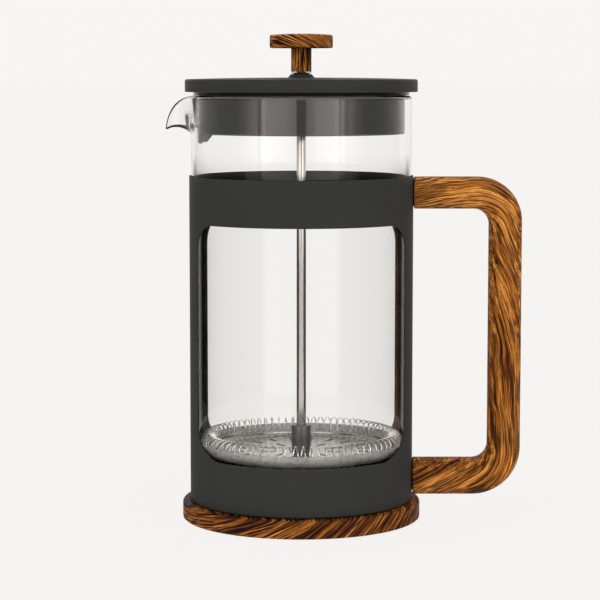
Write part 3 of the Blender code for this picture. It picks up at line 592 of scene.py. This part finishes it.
def frame_columns(radius):
    """Angles round the frame, from the middle of a window: dense along its corners, and one at each side."""
    straight = WINDOW_HALF_WIDTH - WINDOW_CORNER_BOTTOM[0]
    quarter = [math.asin(straight / radius) * step / 20 for step in range(20)]
    quarter += [math.asin(x / radius) for x, _ in arc((straight, 0), (WINDOW_CORNER_BOTTOM[0], 1), 90, 0, 18)]
    side = math.asin(WINDOW_HALF_WIDTH / radius)
    quarter += [side + (math.pi / 2 - side) * step / 14 for step in range(1, 14)]
    half = quarter + [math.pi / 2] + [math.pi - angle for angle in reversed(quarter)][:-1]
    return half + [angle + math.pi for angle in half]


def frame_column(angle, foot, top):
    """The points of the sheet at one angle, from its foot up to its top edge."""
    radius, start = foot[-1]
    x = min(radius * abs(math.sin(angle)), WINDOW_HALF_WIDTH)
    sill = window_edge(x, WINDOW_LEVELS[0], WINDOW_CORNER_BOTTOM, -1)
    head = window_edge(x, WINDOW_LEVELS[1], WINDOW_CORNER_TOP, 1)
    heights = [start + (sill - start) * row / BAND_ROWS for row in range(1, BAND_ROWS)]
    heights += [sill + (head - sill) * row / WINDOW_ROWS for row in range(WINDOW_ROWS)]
    heights += [head + (top - head) * row / BAND_ROWS for row in range(BAND_ROWS + 1)]
    direction = Vector((math.sin(angle), -math.cos(angle), 0))
    return [direction * r + Vector((0, 0, z)) for r, z in foot + [(radius, height) for height in heights]]


def frame_sheet(node):
    """The frame's sheet before it has a thickness. Its faces follow the windows' outlines."""
    radius, bottom, top = radius_of(node), low(node).z, high(node).z
    flat = radius - FRAME_BEND - FLANGE_INNER_RADIUS
    foot = [(FLANGE_INNER_RADIUS + row * flat / FLANGE_ROWS, bottom) for row in range(FLANGE_ROWS)]
    foot += arc((radius - FRAME_BEND, bottom + FRAME_BEND), (FRAME_BEND, FRAME_BEND), -90, 0, 6)
    sill_row = len(foot) + BAND_ROWS - 1
    open_rows = range(sill_row, sill_row + WINDOW_ROWS)
    angles = frame_columns(radius)
    in_window = [radius * abs(math.sin(angle)) < WINDOW_HALF_WIDTH + 1e-7 for angle in angles]
    shape = bmesh.new()
    made = [[shape.verts.new(point) for point in frame_column(angle, foot, top)] for angle in angles]
    for number, column in enumerate(made):
        following = (number + 1) % len(made)
        beside = made[following]
        across_window = in_window[number] and in_window[following]
        for row in range(len(column) - 1):
            if not (across_window and row in open_rows):
                shape.faces.new((column[row], beside[row], beside[row + 1], column[row + 1]))
    unused = [vertex for vertex in shape.verts if not vertex.link_faces]
    bmesh.ops.delete(shape, geom=unused, context="VERTS")
    return link("fine_frame_shell", shape)


def frame_cups(node):
    """The pressed cups behind the ends of the handle, and cutters for their bores and screw holes."""
    start, end = radius_of(node) - SHEET + CUP_LAP, high(node).x
    cups, cutters = [], []
    for level in ("upper", "lower"):
        height = middle_of(f"handle_screw_{level}").z
        cups.append(cylinder(f"cup_{level}", CUP_RADIUS, (start, 0, height), (end, 0, height), 64))
        cutters.append(cylinder(f"cup_bore_{level}", CUP_RADIUS - CUP_WALL, (start - CUT_MARGIN, 0, height),
                                (end - CUP_WALL, 0, height), 64))
        cutters.append(cylinder(f"cup_hole_{level}", SCREW_HOLE + GAP, (start, 0, height),
                                (end + CUT_MARGIN, 0, height)))
    return cups, cutters


def frame_shell():
    """The sheet frame, with its cups for the handle and its holes for the screws."""
    node = "frame_shell"
    bottom = low(node).z
    piece = frame_sheet(node)
    wall = piece.modifiers.new("Sheet", "SOLIDIFY")
    wall.thickness = SHEET
    wall.offset = -1
    wall.use_even_offset = True
    soften = piece.modifiers.new("Edges", "BEVEL")
    soften.width = SHEET_EDGE
    soften.segments = 2
    soften.limit_method = "ANGLE"
    soften.angle_limit = math.radians(60)
    settle(piece)
    cups, cutters = frame_cups(node)
    combine(piece, cups, "UNION")
    combine(piece, base_screw_holes(bottom - CUT_MARGIN, bottom + CUT_MARGIN) + cutters)
    return finish_piece(piece, node, powder_coat)


def base_pad():
    node = "base_pad"
    radius, top = radius_of(node), high(node).z
    profile = rounded([(0, top, 0), (radius, top, 0.0002), (radius, 0, 0.0003), (0, 0, 0)], 3)
    return finish_piece(turned("fine_base_pad", profile), node, foot_rubber)


# ---------------------------------------------------------------- handle
def handle_edge(right, top, bottom, corners, start):
    """One edge of the handle, from its upper end round the two corners to its lower end."""
    upper, lower = corners
    arm_steps, grip_steps = 10, 26
    grip_top, grip_bottom = top - upper, bottom + lower
    grip_length = grip_bottom - grip_top
    path = [(start + (right - upper - start) * step / arm_steps, top) for step in range(arm_steps)]
    path += arc((right - upper, grip_top), (upper, upper), 90, 0, HANDLE_CORNER_STEPS)
    path += [(right, grip_top + grip_length * step / grip_steps) for step in range(1, grip_steps)]
    path += arc((right - lower, grip_bottom), (lower, lower), 0, -90, HANDLE_CORNER_STEPS)
    path += [(right - lower + (start - right + lower) * step / arm_steps, bottom)
             for step in range(1, arm_steps + 1)]
    return [Vector((x, 0, z)) for x, z in path]


def superellipse(angle):
    power = 2 / HANDLE_SQUARENESS
    return [math.copysign(abs(value) ** power, value) for value in (math.cos(angle), math.sin(angle))]


# how steeply the grain drifts towards the handle's outer edge, at shares of the way round from its upper end
HANDLE_DRIFT = ((0.0, 0.22), (0.10, 0.12), (0.18, 0.14), (0.25, 0.44), (0.34, 0.40), (0.45, 0.30),
                (0.60, 0.08), (0.72, 0.04), (0.82, 0.38), (0.90, 0.62), (1.0, 0.50))


def grain_course(middles):
    """How far along the handle each place is, and how far across it the grain has drifted by there."""
    lengths = np.cumsum([0] + [(b - a).length for a, b in zip(middles, middles[1:])])
    slopes = np.interp(lengths / lengths[-1], *zip(*HANDLE_DRIFT))
    drifts = np.cumsum([0] + list((slopes[1:] + slopes[:-1]) / 2 * np.diff(lengths)))
    return lengths, drifts


def handle_end(level, directions, half_width, seat):
    """The rings of one end of the handle, from the bottom of its bore out to the handle's edge."""
    insert = high("handle_insert_upper").z - middle_of("handle_screw_upper").z + GAP
    cup = CUP_RADIUS + GAP
    cup_end, bore_end = high("frame_shell").x + GAP, high("handle_insert_upper").x + GAP
    rings = [[Vector((bore_end, 0, level))]]
    for radius, x in ((insert, bore_end), (insert, cup_end), (cup, cup_end)):
        rings.append([Vector((x, 0, level)) + direction.normalized() * radius for direction in directions])
    mouth = [direction.normalized() * cup for direction in directions]
    edge = [direction * (1 - HANDLE_END_EDGE / half_width) for direction in directions]
    for ring in (mouth, edge):
        rings.append([Vector((math.sqrt(seat ** 2 - at.y ** 2), at.y, level + at.z)) for at in ring])
    return rings


def handle():
    """The D-shaped handle, lofted between its outer and inner edges, with a bore at each end."""
    node = "handle"
    outer_x, top, bottom = high(node).x, high(node).z, low(node).z
    half_depth = high(node).y
    upper, lower = [middle_of(f"handle_screw_{level}").z for level in ("upper", "lower")]
    seat = radius_of("frame_shell") + HANDLE_STANDOFF
    start = seat + HANDLE_END_EDGE
    outer_path = handle_edge(outer_x, top, bottom, HANDLE_OUTER_CORNERS, start)
    inner_path = handle_edge(outer_x - HANDLE_GRIP_WIDTH, 2 * upper - top, 2 * lower - bottom,
                             (HANDLE_INNER_CORNER, HANDLE_INNER_CORNER), start)
    middles = [(outer + inner) / 2 for outer, inner in zip(outer_path, inner_path)]
    lengths, drifts = grain_course(middles)
    sides = [superellipse(2 * math.pi * side / HANDLE_SIDES) for side in range(HANDLE_SIDES)]

    def section(number):
        """The ring at one place on the path, which follows the frame's round at the ends, and its grain."""
        half_width = (outer_path[number] - inner_path[number]) / 2
        ring, marks = [], []
        for a, b in sides:
            point = middles[number] + half_width * a + Vector((0, half_depth * b, 0))
            if number in (0, len(middles) - 1):
                point.x -= seat - math.sqrt(seat ** 2 - point.y ** 2)
            ring.append(point)
            marks.append((lengths[number], half_width.length * a - drifts[number], half_depth * b))
        return ring, marks

    def end_sections(number, level, up):
        """The rings of one end and their grain. up is 1 for the upper end and -1 for the lower one."""
        half_width = abs(outer_path[number].z - level)
        directions = [Vector((0, b * half_depth, a * up * half_width)) for a, b in sides]
        rings = handle_end(level, directions, half_width, seat)
        along, drift = lengths[number], drifts[number]
        return [(ring, [(along, (at.z - level) * up - drift, at.y) for at in ring]) for ring in rings]

    sections = end_sections(0, upper, 1) + [section(number) for number in range(len(middles))]
    sections += end_sections(-1, lower, -1)[::-1]
    piece = skin("fine_handle", [ring for ring, _ in sections])
    write_grain(piece, [(along, across, through + HANDLE_GRAIN_DEPTH)
                        for _, marks in sections for along, across, through in marks])
    return finish_piece(piece, node, handle_wood)


# ---------------------------------------------------------------- beaker
def spout_place(angle, up):
    """How much a place on the wall belongs to the spout: its pull, and its height above the spout's root."""
    across_spout = abs((angle + math.pi) % (2 * math.pi) - math.pi) / SPOUT_HALF_ANGLE
    pull = 0.5 * (1 + math.cos(math.pi * min(across_spout, 1)))
    return pull, max(up, 0)


def drawn(angle, height, radius, rim):
    """A point of the outer face, from its angle round from the spout and its height on the plain wall."""
    pull, up = spout_place(angle, (height - rim + SPOUT_ROOT) / SPOUT_ROOT)
    out, level = 0, height - rim
    if pull > 0 and up > 0:
        softness = SPOUT_SOFTNESS
        lift = math.hypot(math.sqrt(1 - pull * pull), softness) - softness
        drop = SPOUT_DROP * (1 - lift / (math.hypot(1, softness) - softness))
        rise = SPOUT_ROOT - drop
        root = Vector((0, -SPOUT_ROOT))
        edge = Vector((SPOUT_REACH * pull, -drop))
        above_root = root + Vector((0, rise * (1 / 3 + SPOUT_SWELL * pull)))
        hook = Vector((-SPOUT_HOOK[0], SPOUT_HOOK[1]))
        below_edge = edge + hook * pull - Vector((0, rise * (1 - pull) / 3))
        stay = 1 - up
        out, level = (root * stay ** 3 + above_root * 3 * stay ** 2 * up + below_edge * 3 * stay * up ** 2
                      + edge * up ** 3)
    return (-(radius + out) * math.cos(angle), (radius + out) * math.sin(angle), rim + level)


def glass_beaker():
    """The beaker: an outer face drawn into the spout, an inner face inside it, and a fire-rounded rim."""
    node = "glass_beaker"
    radius, bottom, rim = radius_of(node), low(node).z, high(node).z - GLASS_WALL / 2
    corner = arc((radius - GLASS_CORNER, bottom + GLASS_CORNER), (GLASS_CORNER, GLASS_CORNER), -90, 0, 12)
    wall_bottom, wall_top = bottom + GLASS_CORNER, rim - SPOUT_ROOT
    profile = [(0.0005 + (radius - GLASS_CORNER) * step / 8, bottom) for step in range(8)]
    profile += corner
    profile += [(radius, wall_bottom + (wall_top - wall_bottom) * step / 20) for step in range(1, 20)]
    spout_rows = 26
    profile += [(radius, wall_top + SPOUT_ROOT * step / spout_rows) for step in range(spout_rows + 1)]
    angles = [2 * math.pi * step / ROUND_STEPS for step in range(ROUND_STEPS)]
    outer = np.array([[drawn(angle, z, r, rim) for angle in angles] for r, z in profile])
    round_way = np.roll(outer, -1, axis=1) - np.roll(outer, 1, axis=1)
    up_way = np.gradient(outer, axis=0)
    normals = np.cross(up_way, round_way)
    normals /= np.linalg.norm(normals, axis=2, keepdims=True)
    outward = np.sign((normals[10:12, :, :2] * outer[10:12, :, :2]).sum())
    normals *= outward
    wall = np.array([[GLASS_WALL * (1 - (1 - SPOUT_LIP) * pull * up * up) for pull, up in
                      (spout_place(angle, (z - rim + SPOUT_ROOT) / SPOUT_ROOT) for angle in angles)]
                     for _, z in profile])[:, :, None]
    inner = outer - normals * wall
    upward = up_way[-1] / np.linalg.norm(up_way[-1], axis=1, keepdims=True)
    rim_rings = []
    for step in range(1, 8):
        turn = math.pi * step / 8
        way = normals[-1] * (math.cos(turn) - 1) + upward * math.sin(turn)
        rim_rings.append(outer[-1] + wall[-1] / 2 * way)
    rings = [[(0, 0, bottom)], *outer, *rim_rings, *inner[::-1], [(0, 0, bottom + GLASS_WALL)]]
    return finish_piece(skin("fine_glass_beaker", rings), node, glass_clear)


# ---------------------------------------------------------------- lid
def lid_cap():
    node = "lid_cap"
    radius, seat, top = radius_of(node), low(node).z, high(node).z
    crown = top - BOSS_RISE
    edge_top = crown - LID_EDGE_DROP
    hole = BUSH_RADIUS + GAP
    inner = radius - LID_LIP
    crown_points = [(r, crown - LID_EDGE_DROP * (r / radius) ** 2.4, 0) for r in
                    (0.012, 0.018, 0.024, 0.030, 0.036, 0.042, 0.047)]
    liner_top = high("lid_liner").z + GAP
    corners = [(hole, top, 0.0003), (BOSS_RADII[1], top, 0.0005), (BOSS_RADII[0] + 0.0004, crown, 0.0007)]
    corners += crown_points
    corners += [(radius, edge_top, LID_EDGE), (radius, seat, 0.0003), (inner, seat, 0.0003)]
    corners += [(inner, edge_top - LID_THICKNESS, 0.0006), (LID_TUBE_RADIUS, crown - LID_THICKNESS, 0)]
    corners += [(LID_TUBE_RADIUS, liner_top, 0), (hole, liner_top, 0)]
    return finish_piece(turned("fine_lid_cap", rounded(corners)), node, lid_plastic)


def hung_into_tab(drop):
    """How a point of the plain liner moves once the strainer tab hangs this far from its skirt."""
    def moved(point):
        if point.z > SKIRT_BOTTOM + SKIRT_WALL:
            return point
        from_spout = abs(math.atan2(point.y, -point.x))
        share = min(max((TAB_FLARE_ANGLE - from_spout) / (TAB_FLARE_ANGLE - TAB_HALF_ANGLE), 0), 1)
        return Vector((point.x, point.y, point.z - drop * share))
    return moved


def lid_liner():
    """The glossy liner: a flange on the glass rim, and a skirt with an arch of pour slots by the spout."""
    node = "lid_liner"
    top, flange_radius = high(node).z, radius_of(node)
    hole = BUSH_RADIUS + GAP
    flange_bottom = top - LINER_FLANGE
    corners = [(hole, top, 0), (flange_radius, top, 0.0003), (flange_radius, flange_bottom, 0.0003),
               (SKIRT_RADIUS, flange_bottom, 0.0004), (SKIRT_RADIUS, SKIRT_BOTTOM, 0.00075),
               (SKIRT_RADIUS - SKIRT_WALL, SKIRT_BOTTOM, 0.00075),
               (SKIRT_RADIUS - SKIRT_WALL, top - LINER_WEB, 0.0010), (hole, top - LINER_WEB, 0)]
    piece = turned("fine_lid_liner", rounded(corners, 8), warp=hung_into_tab(SKIRT_BOTTOM - low(node).z))
    half_angle, springing, rise = POUR_ARCH
    cutters = []
    for number in range(POUR_SLOT_COUNT):
        from_spout = POUR_SLOT_PITCH * (number - (POUR_SLOT_COUNT - 1) / 2)
        slot_top = springing + rise * math.sqrt(1 - (from_spout / half_angle) ** 2)
        middle = Vector((SKIRT_RADIUS - SKIRT_WALL / 2, 0, (POUR_SLOT_BOTTOM + slot_top) / 2))
        upright = Matrix.Rotation(math.pi / 2, 4, "Y")
        place = Matrix.Rotation(math.pi + from_spout, 4, "Z") @ Matrix.Translation(middle) @ upright
        length = slot_top - POUR_SLOT_BOTTOM
        cutters.append(slot_cutter(f"pour_slot_{number}", length, POUR_SLOT[1], POUR_SLOT[0], place))
    combine(piece, cutters)
    return finish_piece(piece, node, liner_plastic)


def lid_bush():
    node = "lid_bush"
    bore = radius_of("plunger_rod") + GAP
    top, bottom = high(node).z, low(node).z
    flange_bottom = high("lid_cap").z + GAP
    corners = [(bore, top, 0.0002), (radius_of(node), top, 0.0001), (radius_of(node), flange_bottom, 0.0001),
               (BUSH_RADIUS, flange_bottom, 0), (BUSH_RADIUS, bottom, 0.0003), (bore, bottom, 0.0001)]
    return finish_piece(turned("fine_lid_bush", rounded(corners, 4), SMALL_STEPS), node, bush_rubber)


# ---------------------------------------------------------------- plunger
def knob_disc():
    node = "knob_disc"
    radius, bottom, top = radius_of(node), low(node).z, high(node).z
    tenon = TENON_RADIUS + GAP
    tenon_top = high("knob_stem").z + GAP
    crown = [(radius * share, top - 0.0006 * share ** 2.2, 0) for share in (0.2, 0.35, 0.5, 0.65, 0.78, 0.88)]
    corners = [(0, top, 0), *crown, (radius, top - 0.0006, 0.0009), (radius, bottom, 0.0008)]
    corners += [(tenon, bottom, 0), (tenon, tenon_top, 0), (0, tenon_top, 0)]
    piece = turned("fine_knob_disc", rounded(corners), SMALL_STEPS * 2)
    swing = 0.9

    def grain(point):
        """Rings that fall to the right, more steeply towards the handle's side."""
        fall = 0.55 * radius / swing * math.exp(swing * point.x / radius)
        return (point.x * 0.8, point.z + fall + 0.02, point.y * 0.15)

    write_grain(piece, [grain(vertex.co) for vertex in piece.data.vertices])
    return finish_piece(piece, node, knob_wood)


def knob_stem():
    node = "knob_stem"
    radius, bottom, top = radius_of(node), low(node).z, high(node).z
    shoulder = low("knob_disc").z - GAP / 6
    corners = [(0, top, 0), (TENON_RADIUS, top, 0.0002), (TENON_RADIUS, shoulder, 0)]
    corners += [(radius, shoulder, 0.0001), (radius, bottom, 0.0001), (STEM_BORE_RADIUS, bottom, 0.0001)]
    corners += [(STEM_BORE_RADIUS, STEM_BORE_TOP, 0), (0, STEM_BORE_TOP, 0)]
    piece = turned("fine_knob_stem", rounded(corners, 4), SMALL_STEPS)
    write_grain(piece, [(v.co.z, v.co.x + 0.3 * v.co.y, v.co.y) for v in piece.data.vertices])
    return finish_piece(piece, node, knob_wood)


def plunger_rod():
    node = "plunger_rod"
    radius, bottom, top = radius_of(node), low(node).z, high(node).z
    profile = rounded([(0, top, 0), (radius, top, 0.0004), (radius, bottom, 0.0004), (0, bottom, 0)], 4)
    return finish_piece(turned("fine_plunger_rod", profile, SMALL_STEPS), node, rod_steel)


def hub_collar():
    node = "hub_collar"
    radius, bottom, top = radius_of(node), low(node).z, high(node).z
    bore = radius_of("plunger_rod") + GAP
    groove = 0.0003
    middle = bottom + 0.10 * (top - bottom)
    corners = [(bore, top, 0), (radius, top, 0.0006), (radius, middle + 0.0004, 0.0001),
               (radius - groove, middle + 0.0003, 0), (radius - groove, middle - 0.0003, 0),
               (radius, middle - 0.0004, 0.0001), (radius, bottom, 0.0004), (bore, bottom, 0)]
    return finish_piece(turned("fine_hub_collar", rounded(corners, 4), SMALL_STEPS), node, collar_steel)


def dish_profile(hole, flat_radius, flat_top, rim_radius, rim_top, sheet, steps):
    """A dished sheet: a flat middle with a hole, and an elliptical wall that rises to a rounded rim."""
    rise = rim_top - flat_top
    inner = arc((flat_radius, rim_top), (rim_radius - sheet - flat_radius, rise), -90, 0, steps)
    lip = arc((rim_radius - sheet / 2, rim_top), (sheet / 2, sheet / 2), 180, 0, 4)[1:-1]
    outer = arc((flat_radius, rim_top), (rim_radius - flat_radius, rise + sheet), 0, -90, steps)
    return [(hole, flat_top)] + inner + lip + outer + [(hole, flat_top - sheet)]


def spring_plate():
    """The dished plate under the coil, with two rings of radial slots."""
    node = "spring_plate"
    flat_top = low(node).z + PLATE_SHEET
    hole = radius_of("plunger_rod") + GAP
    rim_top = high(node).z - PLATE_SHEET / 2
    profile = dish_profile(hole, PLATE_FLAT_RADIUS, flat_top, radius_of(node), rim_top, PLATE_SHEET, 10)
    piece = turned("fine_spring_plate", profile)
    cutters = []
    for count, ring_radius in PLATE_SLOT_RINGS:
        for number in range(count):
            turn = Matrix.Rotation(2 * math.pi * (number + 0.5) / count, 4, "Z")
            place = turn @ Matrix.Translation((ring_radius, 0, flat_top))
            cutters.append(slot_cutter(f"slot_{count}_{number}", *PLATE_SLOT, CUT_MARGIN, place))
    combine(piece, cutters)
    return finish_piece(piece, node, filter_steel)


def filter_mesh():
    node = "filter_mesh"
    flat_top = low(node).z + MESH_SHEET
    hole = radius_of("plunger_rod") + GAP
    rim_top = high(node).z - MESH_SHEET / 2
    profile = dish_profile(hole, MESH_FLAT_RADIUS, flat_top, radius_of(node), rim_top, MESH_SHEET, 14)
    return finish_piece(turned("fine_filter_mesh", profile), node, mesh_steel)


def filter_spring():
    """The coil round the filter's edge: a helix of round wire closed into a ring."""
    node = "filter_spring"
    height = middle_of(node).z
    ring_radius = radius_of(node) - COIL_RADIUS - COIL_WIRE
    count = COIL_TURNS * COIL_TURN_POINTS

    def at(number):
        turn = 2 * math.pi * number / COIL_TURN_POINTS
        way_round = 2 * math.pi * number / count
        outward = Vector((math.cos(way_round), math.sin(way_round), 0))
        spoke = outward * math.cos(turn) + Vector((0, 0, math.sin(turn)))
        return outward * ring_radius + Vector((0, 0, height)) + spoke * COIL_RADIUS, spoke

    rings = []
    for number in range(count):
        centre, spoke = at(number)
        tangent = (at(number + 1)[0] - at(number - 1)[0]).normalized()
        side = tangent.cross(spoke).normalized()
        spoke = side.cross(tangent)
        angles = [2 * math.pi * step / 8 for step in range(8)]
        rings.append([centre + (spoke * math.cos(a) + side * math.sin(a)) * COIL_WIRE for a in angles])
    return finish_piece(skin("fine_filter_spring", rings, closed_along=True), node, wire_steel)


# ---------------------------------------------------------------- studio
# The studio's brightness at angles in degrees round from the front, at the height of the lid: a dark gap in
# the middle, a broad soft panel on each side of it with a bright edge, dim sides, and the backdrop behind.
STUDIO_LEFT = ((0, 0.0), (4.6, 0.0), (5.6, 0.8), (12, 1.0), (16, 1.2), (30, 1.5), (37, 1.6), (38.4, 2.5),
               (41, 2.4), (43, 0.7), (45, 0.7), (47, 1.4), (60, 1.0), (72, 0.68), (90, 0.6), (112, 0.58),
               (140, 0.6), (152, 0.93), (180, 0.93))
STUDIO_RIGHT = ((0, 0.0), (4.6, 0.0), (5.6, 0.75), (12, 0.9), (16, 1.3), (30, 1.6), (35, 1.9), (39, 2.4),
                (41, 1.2), (43, 2.4), (45.5, 1.5), (48.5, 0.8), (51, 1.25), (60, 0.85), (72, 0.6),
                (90, 0.55), (112, 0.65), (120, 0.72), (128, 0.93), (180, 0.93))
# lower down, where the panels end
STUDIO_LOW = ((0, 0.45), (12, 0.7), (39, 0.72), (41, 0.34), (52, 0.3), (64, 0.0), (152, 0.0), (163, 0.93),
              (180, 0.93))
# the share of the panels in the light at each angle above the horizon
STUDIO_HEIGHT = ((-90, 0.0), (-2.75, 0.0), (-2.45, 0.95), (-0.5, 1.0), (90, 1.0))
# the share of the pale floor in it at each angle above the horizon, and the floor's brightness
GROUND = ((-90, 1.0), (-14.5, 1.0), (-12.5, 0.0), (90, 0.0))
GROUND_LEVEL = 0.78
BRIGHTEST = 2.5


def studio():
    """The light: a room whose brightness depends only on the direction, with the pale backdrop behind."""
    world = bpy.data.worlds.new("studio")
    bpy.context.scene.world = world
    world.use_nodes = True
    g = Graph(world.node_tree)
    x, y, z = g.split(g.node("ShaderNodeTexCoord", {}).outputs["Generated"])
    azimuth = g.math("ARCTAN2", x, g.math("MULTIPLY", y, -1.0))
    round_way = g.math("DIVIDE", g.math("ABSOLUTE", azimuth), math.pi)
    height = g.remap(g.math("ARCSINE", z), -math.pi / 2, math.pi / 2, 0.0, 1.0)

    def level(place, stops, low_end, high_end):
        span = high_end - low_end
        return g.ramp(place, [((angle - low_end) / span, share / BRIGHTEST) for angle, share in stops])

    on_right = g.math("GREATER_THAN", x, 0.0)
    panels = g.blend(on_right, level(round_way, STUDIO_LEFT, 0, 180), level(round_way, STUDIO_RIGHT, 0, 180))
    below = level(round_way, STUDIO_LOW, 0, 180)
    share = g.math("MULTIPLY", g.split(level(height, STUDIO_HEIGHT, -90, 90))["X"], BRIGHTEST)
    room = g.blend(share, below, panels)
    ground = g.math("MULTIPLY", g.split(level(height, GROUND, -90, 90))["X"], BRIGHTEST)
    room = g.blend(ground, room, (GROUND_LEVEL / BRIGHTEST,) * 3)
    background = world.node_tree.nodes["Background"]
    warmth = tuple(part / BACKDROP[0] for part in BACKDROP)
    g.feed(background.inputs["Color"], g.blend(1.0, room, warmth, "MULTIPLY"))
    background.inputs["Strength"].default_value = BRIGHTEST


def floor():
    """A plain pale floor that meets the backdrop without a seam and takes a faint shadow."""
    extent = 60
    mesh = bpy.data.meshes.new("floor")
    corners = [(-extent, -extent, 0), (extent, -extent, 0), (extent, extent, 0), (-extent, extent, 0)]
    mesh.from_pydata(corners, [], [(0, 1, 2, 3)])
    piece = bpy.data.objects.new("floor", mesh)
    bpy.context.scene.collection.objects.link(piece)
    material, g = new_material("floor_paper")
    g.surface(Base_Color=(*FLOOR_PAPER, 1), Roughness=1.0, Specular_IOR_Level=0.0)
    glow = g.node("ShaderNodeEmission", {"Color": (*BACKDROP, 1)}).outputs[0]
    paper = g.tree.nodes["Principled BSDF"].outputs[0]
    mixed = g.node("ShaderNodeMixShader", {0: 1 - FLOOR_SHARE, 1: paper, 2: glow}).outputs[0]
    g.feed(g.tree.nodes["Material Output"].inputs["Surface"], mixed)
    mesh.materials.append(material)
    piece.visible_diffuse = False
    piece.visible_glossy = False
    piece.visible_transmission = False
    piece.visible_shadow = False


def camera():
    data = bpy.data.cameras.new("camera")
    data.lens = 130.1
    data.sensor_width = 36
    data.clip_end = 200
    view = bpy.data.objects.new("camera", data)
    view.location = (-0.0006, -1.007, 0.2074)
    view.rotation_euler = (math.radians(90 - 5.95), 0, 0)
    bpy.context.scene.collection.objects.link(view)
    bpy.context.scene.camera = view


CARRIED_OVER = {
    "base_screw_1": fixing_steel, "base_screw_2": fixing_steel, "base_screw_3": fixing_steel,
    "handle_screw_upper": fixing_steel, "handle_screw_lower": fixing_steel,
    "handle_insert_upper": insert_brass, "handle_insert_lower": insert_brass, "knob_insert": insert_brass,
    "beaker_cushion": foot_rubber, "bush_retainer": fixing_steel, "cross_plate": filter_steel,
    "hub_nut": fixing_steel,
}

camera()
for make in (base_disc, frame_shell, base_pad, handle, glass_beaker, lid_cap, lid_liner, lid_bush, knob_disc,
             knob_stem, plunger_rod, hub_collar, spring_plate, filter_mesh, filter_spring):
    make()
for node, material in CARRIED_OVER.items():
    frame["nodes"][node].data.materials.clear()
    frame["nodes"][node].data.materials.append(material)
studio()
floor()
bpy.context.scene.view_settings.view_transform = "Standard"
